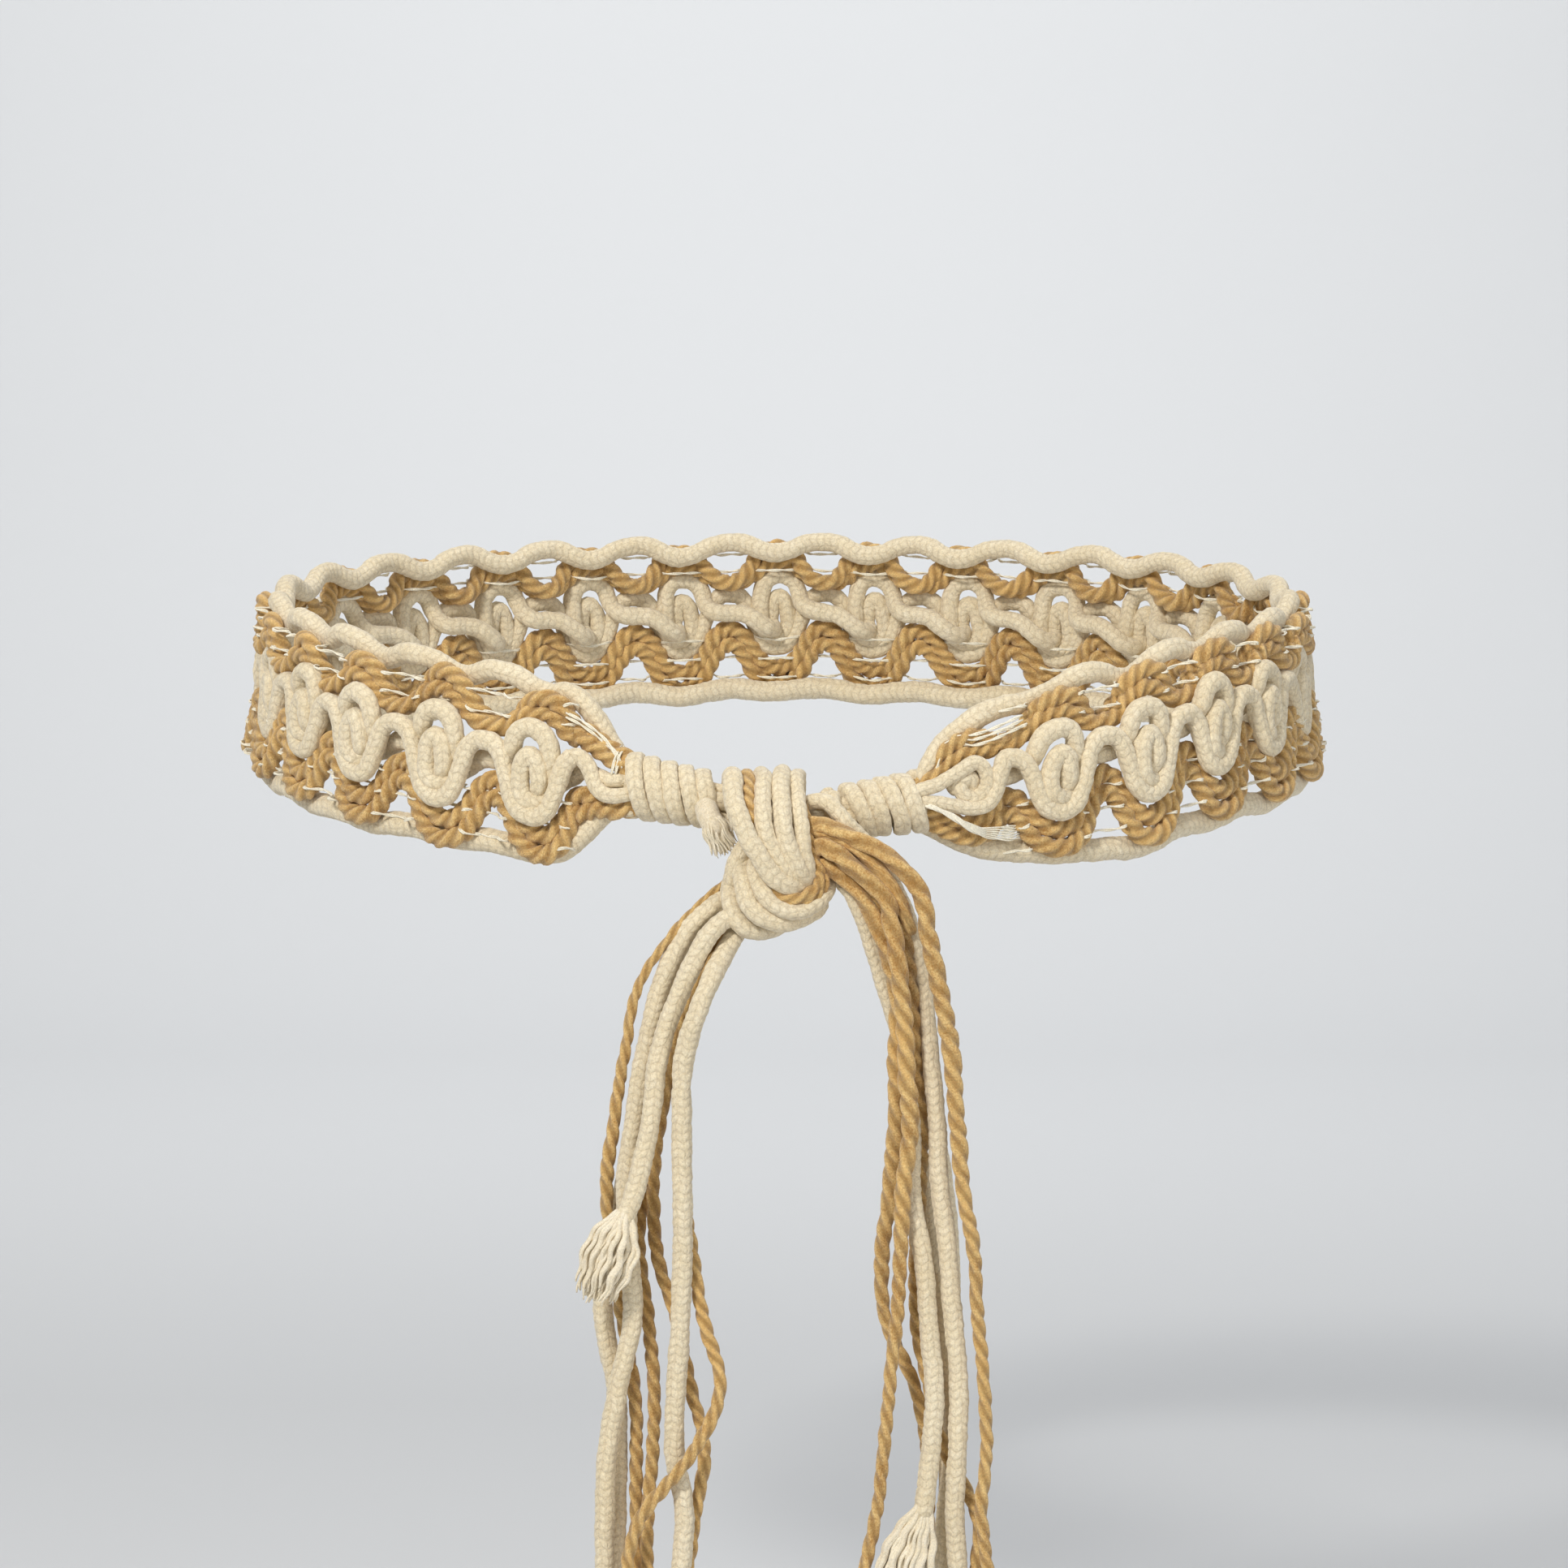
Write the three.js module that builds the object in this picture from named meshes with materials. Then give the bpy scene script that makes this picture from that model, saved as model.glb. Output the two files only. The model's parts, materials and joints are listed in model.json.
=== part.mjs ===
// Corded macrame tie belt: an openwork band of cream and golden tan cotton cord
// that runs once round the waist, gathered into two whipped necks, tied in front
// with a half knot, with sixteen free cord ends.
// Millimetres. +X to the viewer's right, +Y to the wearer's back, +Z up.
// Origin: middle of the waist hollow.
import * as THREE from 'three';

// ---- driving dimensions -------------------------------------------------
const HALF_WIDTH = 127.5;      // band's mid-surface, side to side
const HALF_DEPTH = 97;         // band's mid-surface, front to back
const FLARE = 6 * Math.PI / 180; // lower edge stands out, as on a hip
const PITCH = 24.4;            // one motif
const MOTIFS = 25;             // full motifs
// arc length from the front middle to some motifs, by their number; the rest lie evenly between
const MOTIF_AT = [[0, 62.2], [1, 85.7], [2, 108.3], [3, 131], [4, 154.4], [20, 557.6], [21, 580], [22, 603], [23, 627.4], [24, 651.4]];
const NECK_RIGHT_FACE = 33;    // where the band meets the right neck
const NECK_LEFT_FACE = -36;    // and the left one
const FACE_GAP = 1.2;
const CREAM_D = 4.2;           // free cream cord
const TAN_D = { left: 3, right: 3.6 }; // free tan cords, thinner on the left
const EDGE_R = 2.2;            // edge cord
const STRAND_HALF = { meander: 1.65, knots: 1.5 };
const ZIGZAG_HALF = { width: 3.2, thick: 1.55 };
const NECK_R = 7.4;

// height of the band's middle line, by arc length from the front middle
const MIDLINE = [ // s, z
  [-354.3, 13.5], [-250, 10], [-175, 4.5], [-151, 0.9], [-128.5, -1.9], [-105.5, -6.6], [-81, -9.9], [-57, -13.2], [-36, -15.2], [-14, -18.9],
  [0, -20.2], [7.5, -21.2], [33, -18.7], [62, -12.7], [86, -8.9], [108, -4.1], [131, -1.4], [154, 1.1], [175, 3.8], [250, 10], [354.3, 13.5],
];

// one motif, u along the band from the motif's middle, h across, n outward
const MEANDER = [
  { u: -12.2, h: 5.2 }, { u: -8.8, h: 3.6 }, { u: -6.4, h: -2.5 }, { u: -4.5, h: -7.9 },
  { u: 0, h: -10.4 }, { u: 4.5, h: -7.9 }, { u: 6.4, h: -2.5 }, { u: 8.8, h: 3.6 },
];
const MEANDER_N = 4.8;
const KNOTS = [
  { u: -12.2, h: 1.7, n: 0 }, { u: -6.5, h: 2.7, n: -0.3 }, { u: -4.7, h: 5.6, n: 4 }, { u: -4.3, h: 8.8, n: 4.6 },
  { u: -2, h: 10.9, n: 4.6 }, { u: 2, h: 10.9, n: 4.6 }, { u: 4.5, h: 8.6, n: 4.6 }, { u: 4.3, h: 5.4, n: 4.6 },
  { u: 2, h: 3.2, n: 4.6 }, { u: -1.6, h: 2, n: 4.6 }, { u: -2.2, h: -3.8, n: 4.6 }, { u: 0, h: -6.1, n: 4.6 },
  { u: 2.2, h: -4.2, n: 4.4 }, { u: 2.6, h: -1.4, n: 2.6 }, { u: 5.2, h: 0.6, n: 0.2 },
];
const ZIGZAG_N = 0.8;
const TAN_TOP = { mid: 13.2, swing: 3.6, valley: 0.62 };     // valley: width left between motifs
const TAN_BOTTOM = { mid: -11.1, swing: -6.3, valley: 1 };
const EDGE_TOP = { between: 20.5, motif: 17.6, n: -3.4 };
const EDGE_BOTTOM = { between: -18.8, motif: -19.2, n: -3.4 };

// the half motifs that run into the necks, s from the front middle
const RIGHT_END = {
  edge_top: [{ s: 33, h: 4.6, n: -2.6 }, { s: 37.5, h: 8.6, n: -3.4 }, { s: 42.5, h: 13, n: -3.4 }, { s: 47.4, h: 17.4, n: -3.4 }],
  edge_bottom: [{ s: 33, h: -4.6, n: -2.6 }, { s: 37.5, h: -8.2, n: -3.4 }, { s: 42.5, h: -12, n: -3.4 }, { s: 47.4, h: -15.4, n: -3.4 }],
  tan_top: [{ s: 33, h: 4.3, n: 2.4, w: 0.55 }, { s: 38, h: 7.4, n: 1, w: 0.7 }, { s: 43, h: 10.6, n: 0.8, w: 0.8 }, { s: 47.5, h: 10.4, n: 0.8, w: 0.7 }],
  tan_bottom: [{ s: 33, h: -4.3, n: 2.4, w: 0.55 }, { s: 38, h: -7.2, n: 1, w: 0.7 }, { s: 43, h: -9.6, n: 0.8, w: 0.8 }, { s: 47.5, h: -7.6, n: 0.8, w: 0.8 }],
  meander: [{ s: 33, h: 0, n: 5.2 }, { s: 38, h: -2.6, n: 4.9 }, { s: 43, h: -5.2, n: 4.8 }, { s: 46.6, h: -2, n: 4.8 }, { s: 48.8, h: 3.6, n: 4.8 }],
  knots: [{ s: 33, h: 0, n: -0.6 }, { s: 39.2, h: 1.6, n: 0.4 }, { s: 41, h: 4.2, n: 4.4 }, { s: 43.6, h: 4.6, n: 4.6 }, { s: 44.7, h: 2.4, n: 2.4 }, { s: 46.4, h: 1.6, n: 0 }],
};
const LEFT_END = {
  edge_top: [{ s: -46.4, h: 15.8, n: -3.4 }, { s: -41, h: 9.8, n: -3.4 }, { s: -36, h: 4.6, n: -2.6 }],
  edge_bottom: [{ s: -46.4, h: -14.6, n: -3.4 }, { s: -41, h: -9.4, n: -3.4 }, { s: -36, h: -4.6, n: -2.6 }],
  tan_top: [{ s: -46.4, h: 9, n: 0.8, w: 0.62 }, { s: -41, h: 6.6, n: 1.2, w: 0.6 }, { s: -36, h: 4.3, n: 2.4, w: 0.55 }],
  tan_bottom: [{ s: -46.4, h: -5.6, n: 0.8, w: 0.8 }, { s: -41, h: -5.4, n: 1.2, w: 0.6 }, { s: -36, h: -4.3, n: 2.4, w: 0.55 }],
  meander: [{ s: -46.4, h: 4.8, n: 4.8 }, { s: -42.6, h: 3, n: 4.8 }, { s: -40, h: 0.2, n: 4.9 }, { s: -36, h: 0, n: 5.2 }],
  knots: [{ s: -46.4, h: 1.2, n: 0 }, { s: -41, h: 0.4, n: -0.2 }, { s: -36, h: 0, n: -0.6 }],
};

// whipped necks and the half knot; w and t are half sizes across and in depth
const NECKS = {
  neck_wrap_left: [{ s: -34.3, w: 7.5, t: 7.5 }, { s: -29, w: 7.4, t: 7.4 }, { s: -21, w: 6.9, t: 6.9 }, { s: -14, w: 6.3, t: 6.3 }],
  neck_wrap_right: [{ s: 7.4, w: 5.2, t: 5.2 }, { s: 14, w: 6.2, t: 6.2 }, { s: 23, w: 6.7, t: 6.7 }, { s: 31.9, w: 7.3, t: 7.3 }],
  knot_through: [{ s: -12.8, w: 4, t: 5.4 }, { s: -4, w: 3.4, t: 5.2 }, { s: 6, w: 4, t: 4.8 }],
};
const KNOT_PIECES = { // x, y, z, half width, half thickness; side gives the direction of the width
  knot_wrap: { side: [1, 0, 0], rows: [
    { x: -3.6, y: -89.2, z: -16, w: 9.4, t: 2 }, { x: -3.6, y: -93.6, z: -13.2, w: 9.6, t: 2 }, { x: -3.6, y: -101, z: -13, w: 9.6, t: 2 },
    { x: -3.4, y: -107.4, z: -16, w: 9.6, t: 2.1 }, { x: -2.4, y: -111, z: -22.4, w: 8.6, t: 2.5 }, { x: -0.4, y: -111.5, z: -30, w: 5.2, t: 2.8 },
    { x: 2, y: -111.5, z: -36.4, w: 3.5, t: 2.8 }] },
  knot_loop: { side: null, rows: [
    { x: -10.5, y: -110.5, z: -29, w: 3.2, t: 3.2 }, { x: -10.2, y: -111.4, z: -37.2, w: 3.3, t: 3.3 }, { x: -7, y: -112.2, z: -42.2, w: 3.3, t: 3.3 },
    { x: -2.4, y: -112.5, z: -44.2, w: 3.3, t: 3.3 }, { x: 2.8, y: -112.5, z: -43.2, w: 3.2, t: 3.2 }, { x: 8, y: -111.8, z: -39.2, w: 2.9, t: 2.9 }] },
  binding_end: { side: null, rows: [
    { x: -16, y: -105.8, z: -18.5, w: 1.9, t: 1.6 }, { x: -17.6, y: -106.2, z: -23.5, w: 2.8, t: 2 }, { x: -15.8, y: -106, z: -28, w: 2.3, t: 1.8 }] },
};

// free cord ends: x and y where each one passes these heights
const LEVELS = [-30, -38, -46, -60, -75, -90, -105, -120, -135, -150, -165, -180];
const TAILS = {
  tail_left_cream_1: { first: 2, start: [-6.5, -104.3, -41.2], x: [-16.6, -21.7, -26.7, -29.7, -33.6], y: [-111.5, -113.2, -114.9, -116.6, -118.3], end: [-35.9, -120.0, -111.1] },
  tail_left_cream_2: { first: 2, start: [-12.1, -103.3, -39.6], x: [-21.0, -27.8, -31.3, -33.8, -35.6, -34.7, -34.2, -37.4, -39.9, -40.5], y: [-108.3, -109.2, -110.2, -111.1, -111.9, -112.8, -113.5, -113.9, -114.1, -114.3], end: [-40.2, -114.4, -203] },
  tail_left_cream_3: { first: 2, start: [-9.0, -96.5, -38.0], x: [-16.5, -23.9, -29.7, -33.2, -36.1, -40.5, -40.9, -38.3, -37.7, -38.0], y: [-101.1, -102.0, -102.9, -103.8, -104.6, -105.4, -106.3, -107.2, -108.1, -109.0], end: [-38.6, -109.8, -199] },
  tail_left_cream_4: { first: 3, start: [-2.0, -105.1, -46.5], x: [-14.6, -20.8, -22.8, -22.8, -22.8, -23.3, -24.3, -24.6, -22.4], y: [-118.0, -117.8, -117.5, -117.2, -116.9, -116.5, -115.9, -115.4, -117.0], end: [-24.9, -119.4, -205] },
  tail_left_tan_1: { first: 2, start: [-13.1, -101.0, -35.0], x: [-27.6, -32.5, -35.8, -38.3, -40.0, -38.9, -36.6, -34.0, -33.4, -33.6], y: [-108.8, -109.1, -109.3, -109.4, -109.6, -109.6, -109.3, -109.3, -109.5, -109.6], end: [-34.1, -109.8, -201] },
  tail_left_tan_2: { first: 2, start: [-3.3, -95.6, -41.6], x: [-9.2, -19.5, -24.6, -27.9, -29.5, -28.6, -24.4, -21.1, -18.0, -20.1], y: [-102.9, -104.4, -105.9, -107.4, -108.6, -109.6, -110.6, -111.5, -112.4, -113.2], end: [-23.8, -114.0, -204] },
  tail_left_tan_3: { first: 2, start: [-5.2, -89.8, -39.0], x: [-10.6, -19.2, -25.3, -28.7, -31.4, -32.8, -30.7, -29.5, -29.6, -30.9], y: [-98.5, -100.1, -101.7, -103.3, -104.9, -106.6, -108.3, -109.9, -111.5, -113.0], end: [-30.6, -114.4, -200] },
  tail_left_tan_4: { first: 3, start: [-1.6, -99.3, -45.5], x: [-14.7, -20.4, -22.8, -22.8, -20.6, -17.9, -14.3, -21.5, -33.0], y: [-104.7, -106.7, -108.8, -110.8, -112.9, -115.1, -117.4, -119.7, -119.8], end: [-36.7, -119.0, -202] },
  tail_right_cream_1: { first: 1, start: [7.6, -100.6, -34.2], x: [12.2, 15.7, 20.4, 24.6, 26.2, 26.8, 30.4, 32.5, 33.8, 32.8], y: [-107.3, -107.9, -108.4, -109.5, -111.3, -113.1, -114.8, -115.8, -116.9, -118.0], end: [31.3, -119.0, -178.2] },
  tail_right_cream_2: { first: 0, start: [12.9, -106.7, -19.4], x: [24.7, 28.7, 30.6, 32.5, 33.0, 34.3, 35.1, 36.9, 38.1, 39.1, 37.4, 36.4], y: [-107.8, -108.9, -110.0, -111.1, -112.1, -113.0, -113.8, -114.6, -115.3, -116.0, -116.7, -116.0], end: [37.5, -114.5, -204] },
  tail_right_cream_3: { first: 1, start: [12.0, -103.7, -30.0], x: [17.6, 20.4, 24.9, 27.5, 29.3, 31.6, 33.3, 36.1, 37.8, 38.6, 36.7], y: [-106.5, -106.1, -105.8, -105.5, -105.4, -105.7, -106.5, -107.2, -107.7, -108.0, -108.9], end: [36.0, -109.9, -200] },
  tail_right_cream_4: { first: 1, start: [15.4, -97.7, -31.0], x: [21.9, 25.3, 29.6, 32.3, 34.0, 36.3, 37.8, 37.9, 37.5, 37.3, 37.4], y: [-103.7, -103.6, -103.5, -103.4, -103.2, -103.1, -102.9, -102.7, -102.8, -103.2, -104.0], end: [37.2, -105.1, -198] },
  tail_right_tan_1: { first: 0, start: [9.1, -109.8, -23.2], x: [23.8, 31.2, 33.4, 36.0, 38.8, 40.7, 41.9, 43.2, 43.6, 45.1, 45.4, 44.5], y: [-113.6, -114.2, -114.7, -115.3, -115.8, -116.3, -116.8, -117.2, -117.6, -118.0, -118.4, -118.7], end: [48.1, -119.0, -203] },
  tail_right_tan_2: { first: 0, start: [9.2, -111.2, -27.6], x: [12.7, 21.9, 24.8, 27.2, 28.0, 28.0, 26.6, 26.1, 25.1, 23.5, 22.3, 20.3], y: [-112.5, -113.4, -114.3, -115.2, -116.1, -116.9, -117.7, -118.2, -118.4, -118.5, -118.7, -118.9], end: [16.2, -119.0, -199] },
  tail_right_tan_3: { first: 1, start: [9.1, -109.3, -31.6], x: [17.0, 20.6, 23.6, 22.4, 21.7, 21.9, 22.2, 22.9, 29.4, 32.4, 32.9], y: [-111.0, -112.1, -113.2, -113.4, -112.7, -111.8, -110.8, -109.8, -108.7, -107.6, -106.4], end: [32.7, -105.2, -205] },
  tail_right_tan_4: { first: 0, start: [9.2, -106.2, -25.9], x: [17.2, 23.2, 26.1, 28.3, 29.3, 30.8, 30.4, 29.9, 29.8, 32.7, 36.4, 43.7], y: [-109.0, -109.2, -109.3, -109.5, -109.7, -109.9, -110.0, -109.9, -110.6, -111.4, -112.2, -113.3], end: [42.0, -114.4, -202] },};
// frayed ends, from the cord down
const FRAYS = {
  fray_left_cream_1: [{ x: -36, y: -120, z: -111.7, w: 2.1, t: 2.1 }, { x: -37.6, y: -120.4, z: -117, w: 4.4, t: 3 }, { x: -39, y: -120.6, z: -123, w: 6, t: 3.4 }, { x: -40.2, y: -120.6, z: -132, w: 6.3, t: 3.4 }],
  fray_right_cream_1: [{ x: 31.2, y: -119, z: -178.9, w: 2.1, t: 2.1 }, { x: 30.2, y: -119.4, z: -185, w: 3.6, t: 2.8 }, { x: 29.2, y: -119.6, z: -192, w: 5.2, t: 3.2 }, { x: 28.4, y: -119.6, z: -202, w: 5.8, t: 3.2 }],
};

const CREAM = { color: 0xe4d5b9, roughness: 0.9, metalness: 0 };
const TAN = { color: 0xc39a55, roughness: 0.75, metalness: 0 };

// ---- geometry helpers ---------------------------------------------------
// arc length round the mid-surface ellipse, from the front middle
const STATIONS = 1440;
const arc = [0];
for (let i = 1; i <= STATIONS; i++) {
  const a = (i - 1) * 2 * Math.PI / STATIONS, b = i * 2 * Math.PI / STATIONS;
  arc.push(arc[i - 1] + Math.hypot(HALF_WIDTH * (Math.sin(b) - Math.sin(a)), HALF_DEPTH * (Math.cos(b) - Math.cos(a))));
}
const GIRTH = arc[STATIONS];
function angleAt(s) {
  const t = ((s % GIRTH) + GIRTH) % GIRTH;
  let i = Math.min(STATIONS - 1, Math.floor(t / GIRTH * STATIONS));
  while (i > 0 && arc[i] > t) i--;
  while (i < STATIONS - 1 && arc[i + 1] < t) i++;
  return (i + (t - arc[i]) / (arc[i + 1] - arc[i])) * 2 * Math.PI / STATIONS;
}
// smooth curve through a table's rows
function ramp(rows, x) {
  let i = 0;
  while (i < rows.length - 2 && x > rows[i + 1][0]) i++;
  const slope = (j) => {
    const a = rows[Math.max(j - 1, 0)], b = rows[Math.min(j + 1, rows.length - 1)];
    return (b[1] - a[1]) / (b[0] - a[0]);
  };
  const [x0, y0] = rows[i], [x1, y1] = rows[i + 1], w = x1 - x0, t = (x - x0) / w;
  return (2 * t ** 3 - 3 * t * t + 1) * y0 + (t ** 3 - 2 * t * t + t) * w * slope(i)
    + (3 * t * t - 2 * t ** 3) * y1 + (t ** 3 - t * t) * w * slope(i + 1);
}
function midline(s) {
  const t = ((s + GIRTH / 2) % GIRTH + GIRTH) % GIRTH - GIRTH / 2;
  return ramp(MIDLINE, t);
}
function outward(s) {
  const a = angleAt(s);
  return new THREE.Vector3(Math.sin(a) / HALF_WIDTH, -Math.cos(a) / HALF_DEPTH, 0).normalize();
}
function place(s, h, n) {
  const a = angleAt(s), out = outward(s);
  const away = n * Math.cos(FLARE) - h * Math.sin(FLARE);
  return new THREE.Vector3(
    HALF_WIDTH * Math.sin(a) + out.x * away,
    -HALF_DEPTH * Math.cos(a) + out.y * away,
    midline(s) + h * Math.cos(FLARE) + n * Math.sin(FLARE));
}
function face(s) { // outward normal of the flared band
  const out = outward(s);
  return new THREE.Vector3(out.x * Math.cos(FLARE), out.y * Math.cos(FLARE), Math.sin(FLARE));
}

// a path through given stations; its frame vectors carry the section's size there
class Route extends THREE.Curve {
  constructor(stations) { super(); this.stations = stations; }
  getPoint(t) { return this.stations[Math.round(t * (this.stations.length - 1))].p.clone(); }
  getPointAt(t) { return this.getPoint(t); }
  getSpacedPoints() { return this.stations.map((q) => q.p.clone()); }
  computeFrenetFrames() {
    const q = this.stations, tangents = [], normals = [], binormals = [];
    q.forEach((c, i) => {
      const a = q[Math.max(i - 1, 0)].p, b = q[Math.min(i + 1, q.length - 1)].p;
      const before = c.p.clone().sub(a).normalize(), after = b.clone().sub(c.p).normalize();
      const t = (i === 0 ? after : i === q.length - 1 ? before : before.add(after)).normalize();
      let side, out;
      if (c.out) {
        side = c.out.clone().cross(t).normalize();
        out = t.clone().cross(side).normalize();
      } else {
        side = c.side.clone().addScaledVector(t, -c.side.dot(t)).normalize();
        out = t.clone().cross(side).normalize();
      }
      tangents.push(t); normals.push(side.multiplyScalar(c.w)); binormals.push(out.multiplyScalar(c.t));
    });
    return { tangents, normals, binormals };
  }
}
function ring(sides, square) { // unit section
  const pts = [];
  if (square) return new THREE.Shape([[1, 1], [-1, 1], [-1, -1], [1, -1]].map(([x, y]) => new THREE.Vector2(x, y)));
  for (let i = 0; i < sides; i++) {
    const a = (i + 0.5) * 2 * Math.PI / sides;
    pts.push(new THREE.Vector2(Math.cos(a), Math.sin(a)));
  }
  return new THREE.Shape(pts);
}
function sweep(name, stations, look, sides) {
  const geometry = new THREE.ExtrudeGeometry(ring(sides, sides === 4), {
    steps: stations.length - 1, extrudePath: new Route(stations), bevelEnabled: false,
  });
  geometry.deleteAttribute('uv');
  const mesh = new THREE.Mesh(geometry, new THREE.MeshStandardMaterial(look));
  mesh.name = name;
  return mesh;
}
const bandStation = (r, w, t) => ({ p: place(r.s, r.h, r.n), out: face(r.s), w, t });
// ends of a band cord stand a gap away from the neck's flat face
const clearEnds = (rows) => rows.map((r, i) => i === 0 ? { ...r, s: r.s + FACE_GAP } : i === rows.length - 1 ? { ...r, s: r.s - FACE_GAP } : r);
// a motif's own u, stretched a little where the motifs stand further apart
function motifAt(k) {
  let i = 0;
  while (i < MOTIF_AT.length - 2 && k > MOTIF_AT[i + 1][0]) i++;
  const [k0, s0] = MOTIF_AT[i], [k1, s1] = MOTIF_AT[i + 1];
  return s0 + (k - k0) * (s1 - s0) / (k1 - k0);
}
function along(k, u) {
  const other = k + Math.sign(u);
  const room = other < 0 || other > MOTIFS - 1 ? PITCH : Math.abs(motifAt(other) - motifAt(k));
  return motifAt(k) + u * room / PITCH;
}
const leftEnd = (rows) => rows.map((r) => ({ ...r, s: r.s + GIRTH }));

// ---- the object ---------------------------------------------------------
const belt = new THREE.Group();

// edge cords
for (const [name, key, size] of [['edge_cord_top', 'edge_top', EDGE_TOP], ['edge_cord_bottom', 'edge_bottom', EDGE_BOTTOM]]) {
  const rows = [...RIGHT_END[key]];
  for (let k = 0; k < MOTIFS; k++) {
    rows.push({ s: along(k, -PITCH / 2), h: size.between, n: size.n }, { s: along(k, 0), h: size.motif, n: size.n });
  }
  rows.push(...leftEnd(LEFT_END[key]));
  belt.add(sweep(name, clearEnds(rows).map((r) => bandStation(r, EDGE_R, EDGE_R)), CREAM, 5));
}

// tan zigzags: two twisted strands side by side swing from the edge to the middle
for (const [name, key, size] of [['tan_zigzag_top', 'tan_top', TAN_TOP], ['tan_zigzag_bottom', 'tan_bottom', TAN_BOTTOM]]) {
  const rows = [...RIGHT_END[key]];
  for (let k = 0; k < MOTIFS; k++) {
    for (let j = -2; j < 2; j++) {
      const u = j * PITCH / 4, c = Math.cos(2 * Math.PI * u / PITCH);
      rows.push({ s: along(k, u), h: size.mid + size.swing * c, n: ZIGZAG_N, w: c < -0.5 ? size.valley : 1 });
    }
  }
  rows.push(...leftEnd(LEFT_END[key]));
  belt.add(sweep(name, clearEnds(rows).map((r) => bandStation(r, ZIGZAG_HALF.width * r.w, ZIGZAG_HALF.thick)), TAN, 4));
}

// the two cream cords that make the motifs
for (const [name, key, table, half] of [['cream_meander', 'meander', MEANDER, STRAND_HALF.meander], ['cream_knots', 'knots', KNOTS, STRAND_HALF.knots]]) {
  const rows = [...RIGHT_END[key]];
  for (let k = 0; k < MOTIFS; k++) {
    for (const r of table) rows.push({ s: along(k, r.u), h: r.h, n: r.n ?? MEANDER_N });
  }
  rows.push(...leftEnd(LEFT_END[key]));
  belt.add(sweep(name, clearEnds(rows).map((r) => bandStation(r, half, half)), CREAM, 4));
}

// necks and the strands that pass through the knot
for (const [name, rows] of Object.entries(NECKS)) {
  belt.add(sweep(name, rows.map((r) => ({ p: place(r.s, 0, 0), out: face(r.s), w: r.w, t: r.t })), CREAM, 10));
}
for (const [name, piece] of Object.entries(KNOT_PIECES)) {
  belt.add(sweep(name, piece.rows.map((r) => ({
    p: new THREE.Vector3(r.x, r.y, r.z), w: r.w, t: r.t,
    ...(piece.side ? { side: new THREE.Vector3(...piece.side) } : { out: new THREE.Vector3(0, -1, 0) }),
  })), CREAM, 8));
}

// free ends
function tailPoints(tail) {
  const [ex, ey, ez] = tail.end;
  const rows = [tail.start, ...tail.x.map((x, i) => [x, tail.y[i], LEVELS[tail.first + i]]), [ex, ey, ez]];
  const curve = new THREE.CatmullRomCurve3(rows.map((r) => new THREE.Vector3(...r)), false, 'catmullrom', 0.5);
  const steps = Math.round(curve.getLength() / 10);
  return Array.from({ length: steps + 1 }, (_, i) => curve.getPointAt(i / steps));
}
for (const [name, tail] of Object.entries(TAILS)) {
  const cream = name.includes('cream'), r = (cream ? CREAM_D : TAN_D[name.includes('left') ? 'left' : 'right']) / 2;
  const out = new THREE.Vector3(0, -1, 0);
  belt.add(sweep(name, tailPoints(tail).map((p) => ({ p, out, w: r, t: r })), cream ? CREAM : TAN, 8));
}
for (const [name, rows] of Object.entries(FRAYS)) {
  belt.add(sweep(name, rows.map((r) => ({ p: new THREE.Vector3(r.x, r.y, r.z), out: new THREE.Vector3(0, -1, 0), w: r.w, t: r.t })), CREAM, 8));
}

export default belt;
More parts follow.
